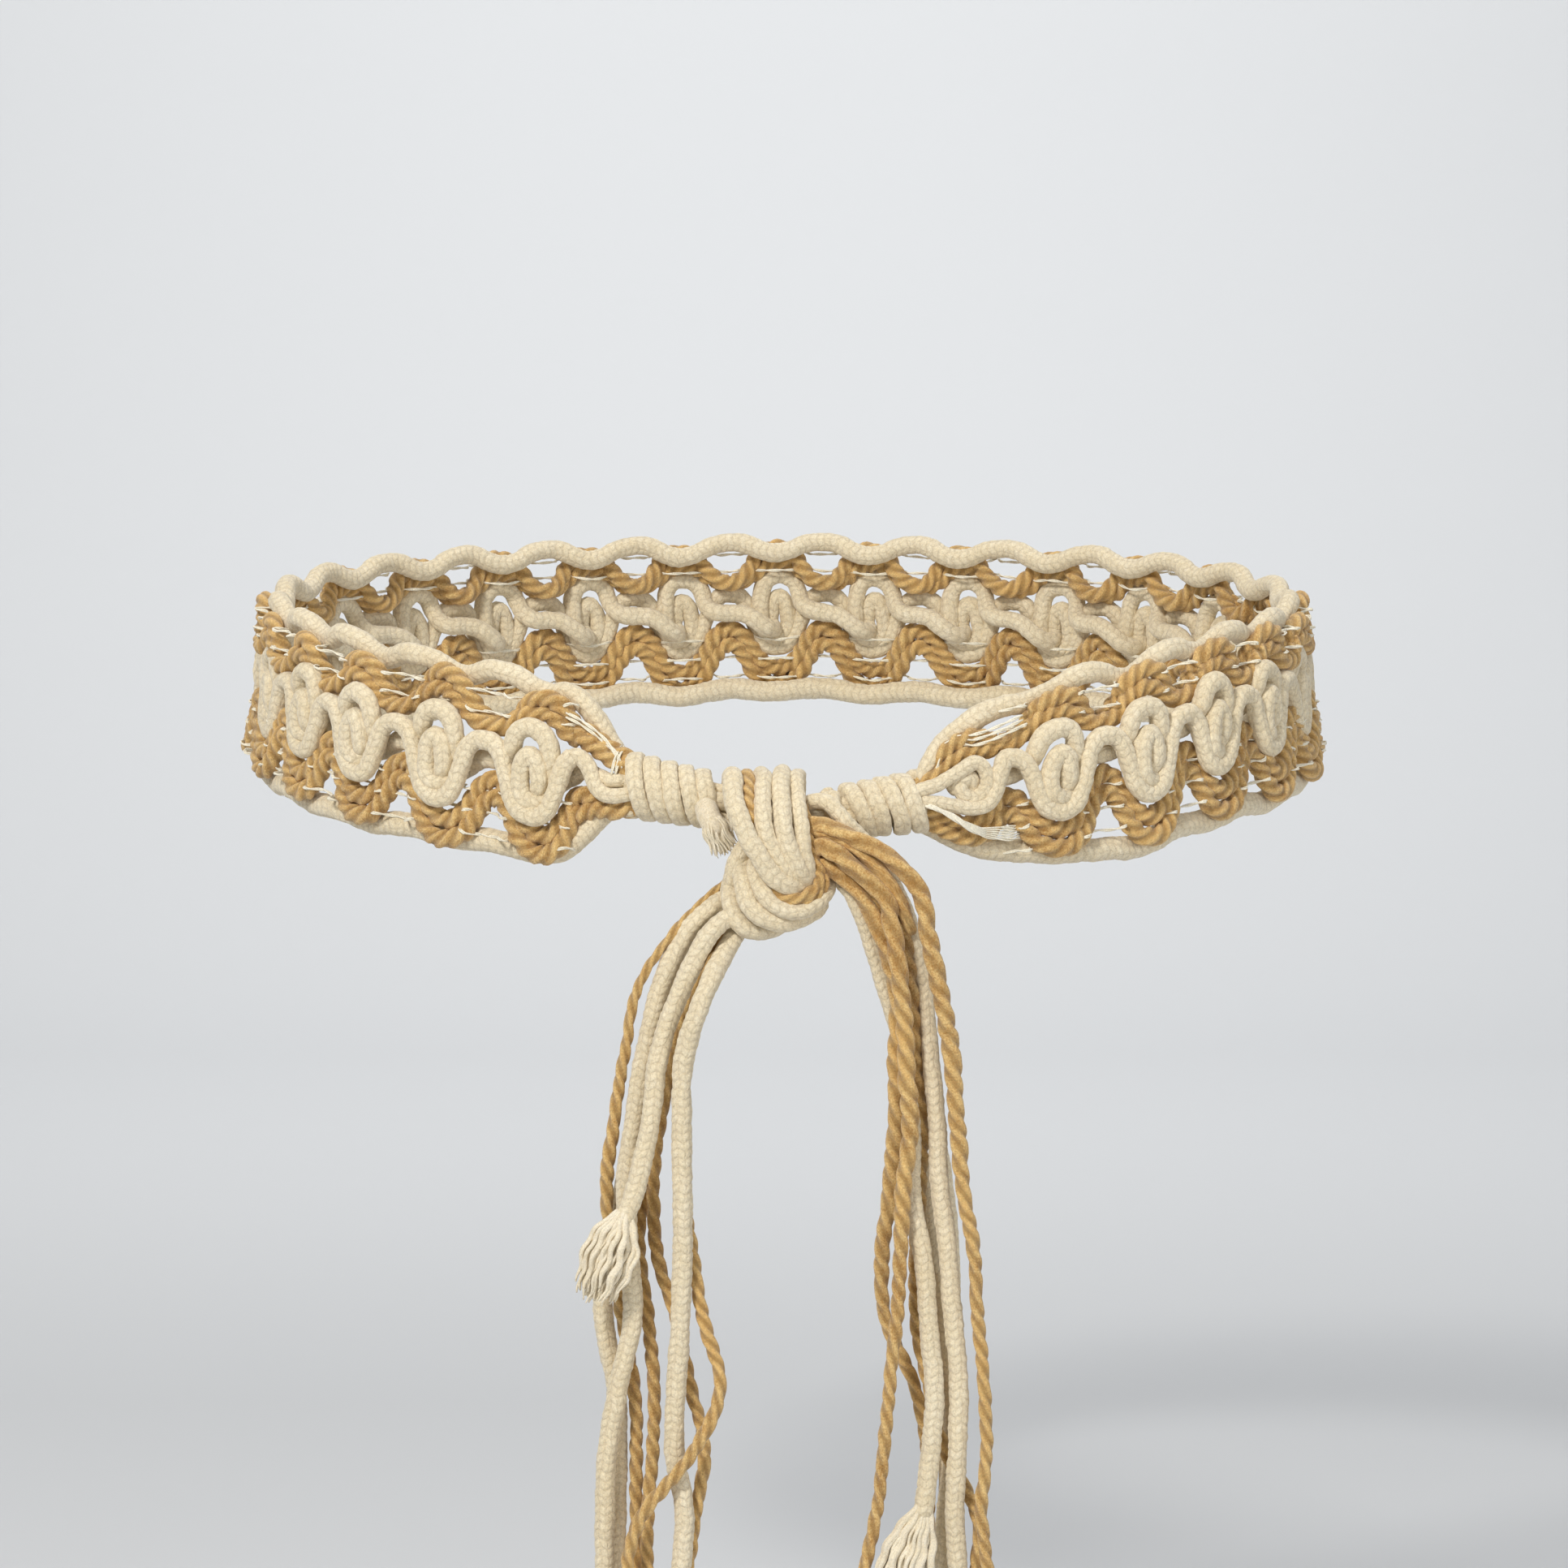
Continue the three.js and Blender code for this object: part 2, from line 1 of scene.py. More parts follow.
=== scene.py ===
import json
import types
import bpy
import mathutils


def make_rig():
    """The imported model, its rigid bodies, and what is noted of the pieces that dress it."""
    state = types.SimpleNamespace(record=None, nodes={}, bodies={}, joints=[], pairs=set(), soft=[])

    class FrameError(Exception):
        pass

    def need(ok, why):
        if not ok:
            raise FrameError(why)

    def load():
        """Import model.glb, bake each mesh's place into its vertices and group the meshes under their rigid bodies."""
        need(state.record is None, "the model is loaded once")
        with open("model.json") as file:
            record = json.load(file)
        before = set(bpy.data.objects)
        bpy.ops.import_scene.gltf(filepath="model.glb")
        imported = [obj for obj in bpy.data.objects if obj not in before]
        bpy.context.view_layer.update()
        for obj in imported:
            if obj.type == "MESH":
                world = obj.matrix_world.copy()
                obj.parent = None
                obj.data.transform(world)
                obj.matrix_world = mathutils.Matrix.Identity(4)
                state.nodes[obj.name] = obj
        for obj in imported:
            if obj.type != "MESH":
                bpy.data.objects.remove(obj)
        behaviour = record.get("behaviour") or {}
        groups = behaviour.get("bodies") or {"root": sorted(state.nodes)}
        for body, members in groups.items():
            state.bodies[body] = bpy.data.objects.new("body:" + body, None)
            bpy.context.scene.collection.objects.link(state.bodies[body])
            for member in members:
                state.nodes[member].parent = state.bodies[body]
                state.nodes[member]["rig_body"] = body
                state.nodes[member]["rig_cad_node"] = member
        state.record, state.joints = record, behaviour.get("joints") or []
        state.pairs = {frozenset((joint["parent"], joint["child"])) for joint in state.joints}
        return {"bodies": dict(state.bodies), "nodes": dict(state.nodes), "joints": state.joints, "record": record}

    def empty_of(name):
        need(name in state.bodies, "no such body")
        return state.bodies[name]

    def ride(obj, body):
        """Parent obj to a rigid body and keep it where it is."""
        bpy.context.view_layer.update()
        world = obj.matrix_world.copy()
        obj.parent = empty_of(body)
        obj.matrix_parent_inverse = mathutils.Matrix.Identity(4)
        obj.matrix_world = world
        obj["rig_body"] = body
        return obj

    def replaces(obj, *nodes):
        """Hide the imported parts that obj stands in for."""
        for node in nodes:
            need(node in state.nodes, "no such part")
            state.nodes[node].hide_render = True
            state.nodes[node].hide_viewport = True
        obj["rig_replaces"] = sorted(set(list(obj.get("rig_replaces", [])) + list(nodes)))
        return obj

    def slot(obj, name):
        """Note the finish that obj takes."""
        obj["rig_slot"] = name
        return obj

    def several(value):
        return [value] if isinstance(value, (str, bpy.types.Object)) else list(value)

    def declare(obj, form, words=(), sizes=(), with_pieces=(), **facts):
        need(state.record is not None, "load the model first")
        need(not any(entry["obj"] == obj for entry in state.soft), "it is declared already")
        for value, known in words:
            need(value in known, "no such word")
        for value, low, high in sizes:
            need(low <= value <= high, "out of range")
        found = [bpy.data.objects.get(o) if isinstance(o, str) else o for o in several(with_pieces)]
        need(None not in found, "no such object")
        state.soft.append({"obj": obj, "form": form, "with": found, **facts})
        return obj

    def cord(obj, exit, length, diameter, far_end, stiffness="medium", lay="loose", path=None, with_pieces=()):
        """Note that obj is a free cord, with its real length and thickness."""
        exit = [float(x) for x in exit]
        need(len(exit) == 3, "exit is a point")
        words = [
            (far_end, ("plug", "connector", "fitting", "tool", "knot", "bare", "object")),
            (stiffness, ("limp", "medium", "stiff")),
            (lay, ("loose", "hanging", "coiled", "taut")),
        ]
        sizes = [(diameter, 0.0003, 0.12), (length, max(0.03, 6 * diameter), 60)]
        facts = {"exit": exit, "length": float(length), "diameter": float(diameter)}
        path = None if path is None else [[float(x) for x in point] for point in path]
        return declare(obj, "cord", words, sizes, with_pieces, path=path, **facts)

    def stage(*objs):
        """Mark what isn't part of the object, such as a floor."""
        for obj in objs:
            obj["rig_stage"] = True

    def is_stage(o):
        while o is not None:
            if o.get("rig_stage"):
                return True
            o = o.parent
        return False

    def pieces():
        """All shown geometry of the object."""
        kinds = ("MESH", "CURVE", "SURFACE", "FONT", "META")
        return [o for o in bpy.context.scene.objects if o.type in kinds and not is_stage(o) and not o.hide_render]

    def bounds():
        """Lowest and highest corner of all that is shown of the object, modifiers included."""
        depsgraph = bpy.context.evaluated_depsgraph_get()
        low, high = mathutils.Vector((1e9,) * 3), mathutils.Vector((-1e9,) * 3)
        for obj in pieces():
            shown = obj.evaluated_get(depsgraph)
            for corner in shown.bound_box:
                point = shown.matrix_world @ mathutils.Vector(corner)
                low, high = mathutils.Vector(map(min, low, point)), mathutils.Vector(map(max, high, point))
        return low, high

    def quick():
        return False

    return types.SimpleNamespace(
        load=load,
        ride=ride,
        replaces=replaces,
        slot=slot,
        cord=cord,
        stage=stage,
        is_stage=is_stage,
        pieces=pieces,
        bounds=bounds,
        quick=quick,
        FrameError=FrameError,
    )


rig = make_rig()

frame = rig.load()

import json
import math

import bpy
import numpy as np
from mathutils import Vector

cad_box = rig.bounds()
MM = 0.001
PIXELS = 1932.0

# ---------------------------------------------------------------- camera
ELEV = math.radians(5.0)
DIST = 1200.0            # mm
FOCAL_PX = 6000.0
AIM_Z = -23.3
cam_data = bpy.data.cameras.new("camera")
cam = bpy.data.objects.new("camera", cam_data)
bpy.context.scene.collection.objects.link(cam)
cam_data.sensor_width = 36.0
cam_data.lens = 36.0 * FOCAL_PX / PIXELS
back = Vector((0, -math.cos(ELEV), math.sin(ELEV)))
cam.location = (Vector((0, 0, AIM_Z)) + back * DIST) * MM
cam.rotation_mode = "QUATERNION"
cam.rotation_quaternion = (-back).to_track_quat("-Z", "Y")
cam_data.clip_start, cam_data.clip_end = 0.05, 20
bpy.context.scene.camera = cam


def seen(px, py, y):
    """The point at depth y (mm) that shows at this pixel of the 1932 x 1932 view."""
    up = (PIXELS / 2 - py) / FOCAL_PX
    z = (up * (DIST + y * math.cos(ELEV)) - y * math.sin(ELEV)) / (math.cos(ELEV) + up * math.sin(ELEV))
    depth = DIST + y * math.cos(ELEV) - z * math.sin(ELEV)
    return ((px - PIXELS / 2) * depth / FOCAL_PX, y, z + AIM_Z)


# ---------------------------------------------------------------- the band's own space
HALF_WIDTH, HALF_DEPTH = 127.5, 97.0
FLARE = math.radians(6)
PITCH, MOTIFS = 24.4, 25
MOTIF_AT = np.interp(np.arange(25), (0, 1, 2, 3, 4, 20, 21, 22, 23, 24), (62.2, 85.7, 108.3, 131, 154.4, 557.6, 580, 603, 627.4, 651.4))
MOTIF_ROOM = np.concatenate([[PITCH], np.diff(MOTIF_AT), [PITCH]])
_a = np.linspace(0, 2 * math.pi, 1441)
_arc = np.concatenate([[0], np.cumsum(np.hypot(np.diff(HALF_WIDTH * np.sin(_a)), np.diff(HALF_DEPTH * np.cos(_a))))])
GIRTH = _arc[-1]
MIDLINE = np.array([(-354.3, 13.5), (-250, 10.0), (-175, 4.5), (-151, 0.9), (-128.5, -1.9), (-105.5, -6.6), (-81, -9.9), (-57, -13.2), (-36, -15.2), (-14, -18.9),
                    (0, -20.2), (7.5, -21.2), (33, -18.7), (62, -12.7), (86, -8.9), (108, -4.1), (131, -1.4), (154, 1.1), (175, 3.8), (250, 10.0), (354.3, 13.5)], float)


def ramp(rows, x):
    xs, ys = rows[:, 0], rows[:, 1]
    slope = np.empty(len(xs))
    slope[1:-1] = (ys[2:] - ys[:-2]) / (xs[2:] - xs[:-2])
    slope[0], slope[-1] = (ys[1] - ys[0]) / (xs[1] - xs[0]), (ys[-1] - ys[-2]) / (xs[-1] - xs[-2])
    i = np.clip(np.searchsorted(xs, x, side="right") - 1, 0, len(xs) - 2)
    w = xs[i + 1] - xs[i]
    t = (x - xs[i]) / w
    return ((2 * t**3 - 3 * t * t + 1) * ys[i] + (t**3 - 2 * t * t + t) * w * slope[i]
            + (3 * t * t - 2 * t**3) * ys[i + 1] + (t**3 - t * t) * w * slope[i + 1])


def place(s, h, n):
    s, h, n = (np.asarray(v, float) for v in (s, h, n))
    t = np.mod(s, GIRTH)
    a = np.interp(t, _arc, _a)
    ox, oy = np.sin(a) / HALF_WIDTH, -np.cos(a) / HALF_DEPTH
    k = np.hypot(ox, oy)
    ox, oy = ox / k, oy / k
    away = n * math.cos(FLARE) - h * math.sin(FLARE)
    mid = ramp(MIDLINE, np.mod(s + GIRTH / 2, GIRTH) - GIRTH / 2)
    return np.stack([HALF_WIDTH * np.sin(a) + ox * away, -HALF_DEPTH * np.cos(a) + oy * away,
                     mid + h * math.cos(FLARE) + n * math.sin(FLARE)], -1)


# ---------------------------------------------------------------- curves and sweeps
def catmull(points, per=8):
    p = np.asarray(points, float)
    p = np.vstack([p[:1], p, p[-1:]])
    t = (np.arange(per) / per)[None, :, None]
    a, b, c, d = (p[i:len(p) - 3 + i, None, :] for i in range(4))
    q = 0.5 * (2 * b + (c - a) * t + (2 * a - 5 * b + 4 * c - d) * t**2 + (3 * b - a - 3 * c + d) * t**3)
    return np.vstack([q.reshape(-1, p.shape[1]), p[-1:]])


def even(points, step):
    """The same line with points an even step apart. Columns past the third ride along."""
    p = np.asarray(points, float)
    d = np.concatenate([[0], np.cumsum(np.linalg.norm(np.diff(p[:, :3], axis=0), axis=1))])
    keep = np.concatenate([[True], np.diff(d) > 1e-7])
    d, p = d[keep], p[keep]
    n = max(2, int(round(d[-1] / step)))
    t = np.linspace(0, d[-1], n + 1)
    return np.stack([np.interp(t, d, p[:, i]) for i in range(p.shape[1])], 1), t


def waver(t, seed, waves=((23.0, 1.0), (9.1, 0.6), (4.3, 0.35))):
    """Slow uneven wandering, about -1..1, the same each run."""
    rng = np.random.default_rng(seed)
    out = np.zeros_like(t, float)
    for length, size in waves:
        out += size * np.sin(2 * math.pi * t / (length * rng.uniform(0.8, 1.25)) + rng.uniform(0, 6.28))
    return out / sum(w[1] for w in waves)


def frames_along(p, first=(0, -1, 0)):
    """Tangents and two side vectors that turn as little as they can."""
    t = np.gradient(p, axis=0)
    t /= np.linalg.norm(t, axis=1)[:, None]
    u = np.empty_like(t)
    v = np.array(first, float)
    for i in range(len(p)):
        ti = t[i]
        v = v - ti * v.dot(ti)
        n = math.sqrt(v.dot(v))
        if n < 1e-6:
            v = np.cross(ti, (0.3, 0.8, 0.5))
            n = math.sqrt(v.dot(v))
        v = v / n
        u[i] = v
    return t, u, np.cross(t, u)


class Build:
    """Collects swept strands into one mesh."""

    def __init__(self):
        self.v, self.q, self.tri, self.uv, self.tone, self.n = [], [], [], [], [], 0

    def sweep(self, p, t, u, w, radii, angles, du, tone=None, uscale=1.0, cap=True):
        """radii: (len, sides) of surface distance at angles (len, sides). Points in mm."""
        m, k = radii.shape
        ring = p[:, None, :] + (np.cos(angles) * radii)[..., None] * u[:, None, :] + (np.sin(angles) * radii)[..., None] * w[:, None, :]
        base = self.n
        self.v.append(ring.reshape(-1, 3))
        self.n += m * k
        i = np.arange(m - 1)[:, None] * k
        j = np.arange(k)[None, :]
        j2 = (j + 1) % k
        q = np.stack([base + i + j, base + i + j2, base + i + k + j2, base + i + k + j], -1).reshape(-1, 4)
        self.q.append(q)
        uu0 = np.repeat(du[:-1], k)
        uu1 = np.repeat(du[1:], k)
        vv0 = np.tile(np.arange(k) / k, m - 1)
        vv1 = vv0 + 1.0 / k
        self.uv.append(np.stack([np.stack([uu0, vv0], -1), np.stack([uu0, vv1], -1), np.stack([uu1, vv1], -1), np.stack([uu1, vv0], -1)], 1).reshape(-1, 2))
        tone = np.zeros((m, k)) if tone is None else np.broadcast_to(tone, (m, k))
        self.tone.append(tone.reshape(-1))
        if cap:
            for end, sign in ((0, -1), (m - 1, 1)):
                c = self.n
                self.v.append((p[end] + t[end] * sign * radii[end].mean() * 0.35)[None, :])
                self.tone.append(np.array([float(tone[end].mean())]))
                self.n += 1
                r = base + end * k
                a, b = r + np.arange(k), r + (np.arange(k) + 1) % k
                tri = np.stack([a, b, np.full(k, c)], -1) if sign > 0 else np.stack([b, a, np.full(k, c)], -1)
                self.tri.append(tri)

    def mesh(self, name):
        v = np.vstack(self.v).astype(np.float32) * MM
        q = np.vstack(self.q) if self.q else np.zeros((0, 4), int)
        tri = np.vstack(self.tri) if self.tri else np.zeros((0, 3), int)
        me = bpy.data.meshes.new(name)
        me.vertices.add(len(v))
        me.vertices.foreach_set("co", v.ravel())
        nl = q.size + tri.size
        me.loops.add(nl)
        me.loops.foreach_set("vertex_index", np.concatenate([q.ravel(), tri.ravel()]).astype(np.int32))
        me.polygons.add(len(q) + len(tri))
        start = np.concatenate([np.arange(len(q)) * 4, q.size + np.arange(len(tri)) * 3]).astype(np.int32)
        me.polygons.foreach_set("loop_start", start)
        me.update(calc_edges=True)
        uv = me.uv_layers.new(name="UVMap")
        flat = np.vstack(self.uv + [np.zeros((tri.size, 2))]).astype(np.float32)
        uv.data.foreach_set("uv", flat.ravel())
        # per-vertex tone: painted shade of grooves, recesses and shaded parts, plus random darkening of loose yarns
        att = me.attributes.new("tone", "FLOAT", "POINT")
        att.data.foreach_set("value", np.concatenate(self.tone).astype(np.float32))
        me.polygons.foreach_set("use_smooth", np.ones(len(me.polygons), bool))
        me.validate()
        ob = bpy.data.objects.new(name, me)
        bpy.context.scene.collection.objects.link(ob)
        return ob


BRAID_PITCH = 1.95   # one V of the braid, mm
BRAID_COLS = 4       # V columns round the cord


def braided(build, path, d, seed=0, step=0.58, sides=20, relief=0.15, roll=0.0, tone=0.0, ends=(1, 1), wander=0.12, thin=None, press=0.0):
    """A braided cord: small slanted stitches stand proud of it. thin: (at, share) along it, 0..1.
    Columns 3 to 5 of the path, if given, point outward; press: how square the cord is pressed to that side."""
    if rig.quick():
        step, sides = 0.9, 15
    p, l = even(path, step)
    away = p[:, 3:6]
    p = p[:, :3].copy()
    t, u, w = frames_along(p)
    if away.shape[1] == 3:
        u = away - t * (away * t).sum(1)[:, None]
        u /= np.linalg.norm(u, axis=1)[:, None]
        w = np.cross(t, u)
    p += u * (waver(l, seed + 1) * wander)[:, None] + w * (waver(l, seed + 2) * wander)[:, None]
    turn = roll + 0.35 * waver(l, seed + 6)
    ang = np.linspace(0, 2 * math.pi, sides, endpoint=False)[None, :] + turn[:, None]
    col = np.linspace(0, 1, sides, endpoint=False)[None, :] * BRAID_COLS
    tri = np.abs((col % 1.0) - 0.5) * 2             # 0..1..0 across a column
    phase = l[:, None] / BRAID_PITCH + tri * 0.5
    bump = np.sqrt(np.abs(np.sin(math.pi * phase)))
    split = np.minimum(1, np.abs(np.sin(math.pi * ((col * 2) % 1.0))) * 1.7)
    height = bump * (0.35 + 0.65 * split)
    rng = np.random.default_rng(seed + 17)
    lump = rng.uniform(0.55, 1.25, (int(l[-1] / BRAID_PITCH) + 4, BRAID_COLS * 2))
    height = height * lump[np.floor(phase).astype(int), np.broadcast_to(np.floor(col * 2).astype(int), phase.shape)]
    oval = 1 + 0.05 * waver(l, seed + 4)[:, None] * np.cos(2 * (ang - turn[:, None]) + seed)
    r = d / 2 * (1 + 0.04 * waver(l, seed + 3))[:, None] * oval
    if press:
        n = 2 + 2.4 * press
        r = r * (np.abs(np.cos(ang)) ** n + np.abs(np.sin(ang)) ** n) ** (-1 / n)
    r = r + relief * (height - 0.6)
    if thin is not None:
        r = r * np.interp(l / l[-1], thin[0], thin[1])[:, None]
    taper = np.ones(len(p))
    if ends[0]:
        taper = np.minimum(taper, 0.72 + 0.28 * np.clip(l / (0.3 * d), 0, 1) ** 0.5)
    if ends[1]:
        taper = np.minimum(taper, 0.72 + 0.28 * np.clip((l[-1] - l) / (0.3 * d), 0, 1) ** 0.5)
    # painted shade: the cord is drawn darker where the stitches sink, in the braid's recesses
    build.sweep(p, t, u, w, r * taper[:, None], ang, l / BRAID_PITCH, tone=tone + np.clip(1 - height, 0, 1))
    return p, l


TWIST_PITCH = 15.0


def twisted(build, path, d, seed=0, step=0.6, sides=21, plies=3, pitch=TWIST_PITCH, tone=0.0, wander=0.1, hand=-1, thin=None, lay=None):
    """A plied cord: plies wound round each other. lay: (at mm, pitch mm) where the pitch changes."""
    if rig.quick():
        step, sides = 1.1, 15
    p, l = even(path, step)
    p = p[:, :3].copy()
    t, u, w = frames_along(p)
    p += u * (waver(l, seed + 1) * wander)[:, None] + w * (waver(l, seed + 2) * wander)[:, None]
    k = np.arange(sides) / sides
    wound = l / pitch if lay is None else np.concatenate([[0], np.cumsum(np.diff(l) / np.interp(l[1:], lay[0], lay[1]))])
    turn = hand * 2 * math.pi * (wound + 0.06 * waver(l, seed + 5)) + seed * 1.7
    ang = k[None, :] * 2 * math.pi + turn[:, None]
    lobe = (k * plies) % 1.0 - 0.5
    a = lobe * 2 * math.pi / plies                   # angle from the ply's own middle
    rp = 0.46                                        # ply radius as a share of the cord's radius
    off = 1 - rp
    prof = off * np.cos(a) + np.sqrt(np.maximum(rp**2 - (off * np.sin(a)) ** 2, 0.004))
    prof = 1 - (1 - np.maximum(prof, 0.62)) * 0.62
    which = np.floor(k * plies).astype(int)
    fat = np.stack([0.05 * waver(l, seed + 31 + j) for j in range(plies)], 1)[:, which]
    r = d / 2 * (1 + 0.05 * waver(l, seed + 3))[:, None] * (prof[None, :] + fat * (prof[None, :] > 0.85))
    if thin is not None:
        r = r * np.interp(l, thin[0], thin[1])[:, None]
    ends = np.minimum(1, 0.7 + 0.3 * np.clip(np.minimum(l, l[-1] - l) / (0.3 * d), 0, 1) ** 0.5)
    r = r * ends[:, None]
    # painted shade: darker in the grooves between the plies
    shade = tone + np.clip((1 - prof) / 0.235, 0, 1)[None, :] + np.zeros_like(r)
    build.sweep(p, t, u, w, r, ang, l / pitch, tone=shade)
    return p, l


def plain(build, path, d, seed=0, step=1.0, sides=6, tone=0.0, taper=None, du=1.0):
    p, l = even(path, step)
    p = p[:, :3]
    t, u, w = frames_along(p)
    ang = np.linspace(0, 2 * math.pi, sides, endpoint=False)[None, :] + np.zeros((len(p), 1))
    r = np.full((len(p), sides), d / 2)
    if taper is not None:
        r = r * np.interp(l / l[-1], taper[0], taper[1])[:, None]
    build.sweep(p, t, u, w, r, ang, l / du, tone=tone + np.zeros_like(r))
    return p, l


def finish_piece(ob, slot, material, *nodes):
    ob.data.materials.append(material)
    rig.ride(ob, "root")
    if nodes:
        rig.replaces(ob, *nodes)
    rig.slot(ob, slot)
    return ob


# ---------------------------------------------------------------- materials
def new_material(name):
    m = bpy.data.materials.new(name)
    m.use_nodes = True
    nt = m.node_tree
    return m, nt, nt.nodes["Principled BSDF"]


def node(nt, kind, **settings):
    n = nt.nodes.new(kind)
    for k, v in settings.items():
        setattr(n, k, v)
    return n


def math_node(nt, op, a, b=None, c=None, clamp=False):
    n = nt.nodes.new("ShaderNodeMath")
    n.operation, n.use_clamp = op, clamp
    for i, v in enumerate((a, b, c)):
        if v is None:
            continue
        if isinstance(v, (int, float)):
            n.inputs[i].default_value = v
        else:
            nt.links.new(v, n.inputs[i])
    return n.outputs[0]


def noise(nt, vector, scale, detail=3, rough=0.55):
    n = nt.nodes.new("ShaderNodeTexNoise")
    n.inputs["Scale"].default_value = scale
    n.inputs["Detail"].default_value = detail
    n.inputs["Roughness"].default_value = rough
    nt.links.new(vector, n.inputs["Vector"])
    return n.outputs["Fac"]


def colour_ramp(nt, fac, stops):
    n = nt.nodes.new("ShaderNodeValToRGB")
    el = n.color_ramp.elements
    el[0].position, el[0].color = stops[0][0], (*stops[0][1], 1)
    el[1].position, el[1].color = stops[-1][0], (*stops[-1][1], 1)
    for pos, col in stops[1:-1]:
        e = el.new(pos)
        e.color = (*col, 1)
    nt.links.new(fac, n.inputs["Fac"])
    return n.outputs["Color"]


def srgb(h):
    out = []
    for i in (0, 2, 4):
        c = int(h[i:i + 2], 16) / 255
        out.append(c / 12.92 if c <= 0.04045 else ((c + 0.055) / 1.055) ** 2.4)
    return tuple(out)


def mix(nt, fac, a, b, blend="MIX"):
    n = nt.nodes.new("ShaderNodeMix")
    n.data_type, n.blend_type = "RGBA", blend
    n.inputs["Factor"].default_value = 0.5
    for i, v in ((0, fac), (6, a), (7, b)):
        if isinstance(v, (int, float)):
            n.inputs[i].default_value = v
        elif isinstance(v, tuple):
            n.inputs[i].default_value = (*v, 1)
        else:
            nt.links.new(v, n.inputs[i])
    return n.outputs[2]


def white(nt, a, b):
    n = nt.nodes.new("ShaderNodeTexWhiteNoise")
    n.noise_dimensions = "2D"
    comb = nt.nodes.new("ShaderNodeCombineXYZ")
    nt.links.new(a, comb.inputs[0])
    nt.links.new(b, comb.inputs[1])
    nt.links.new(comb.outputs[0], n.inputs["Vector"])
    return n.outputs["Value"]


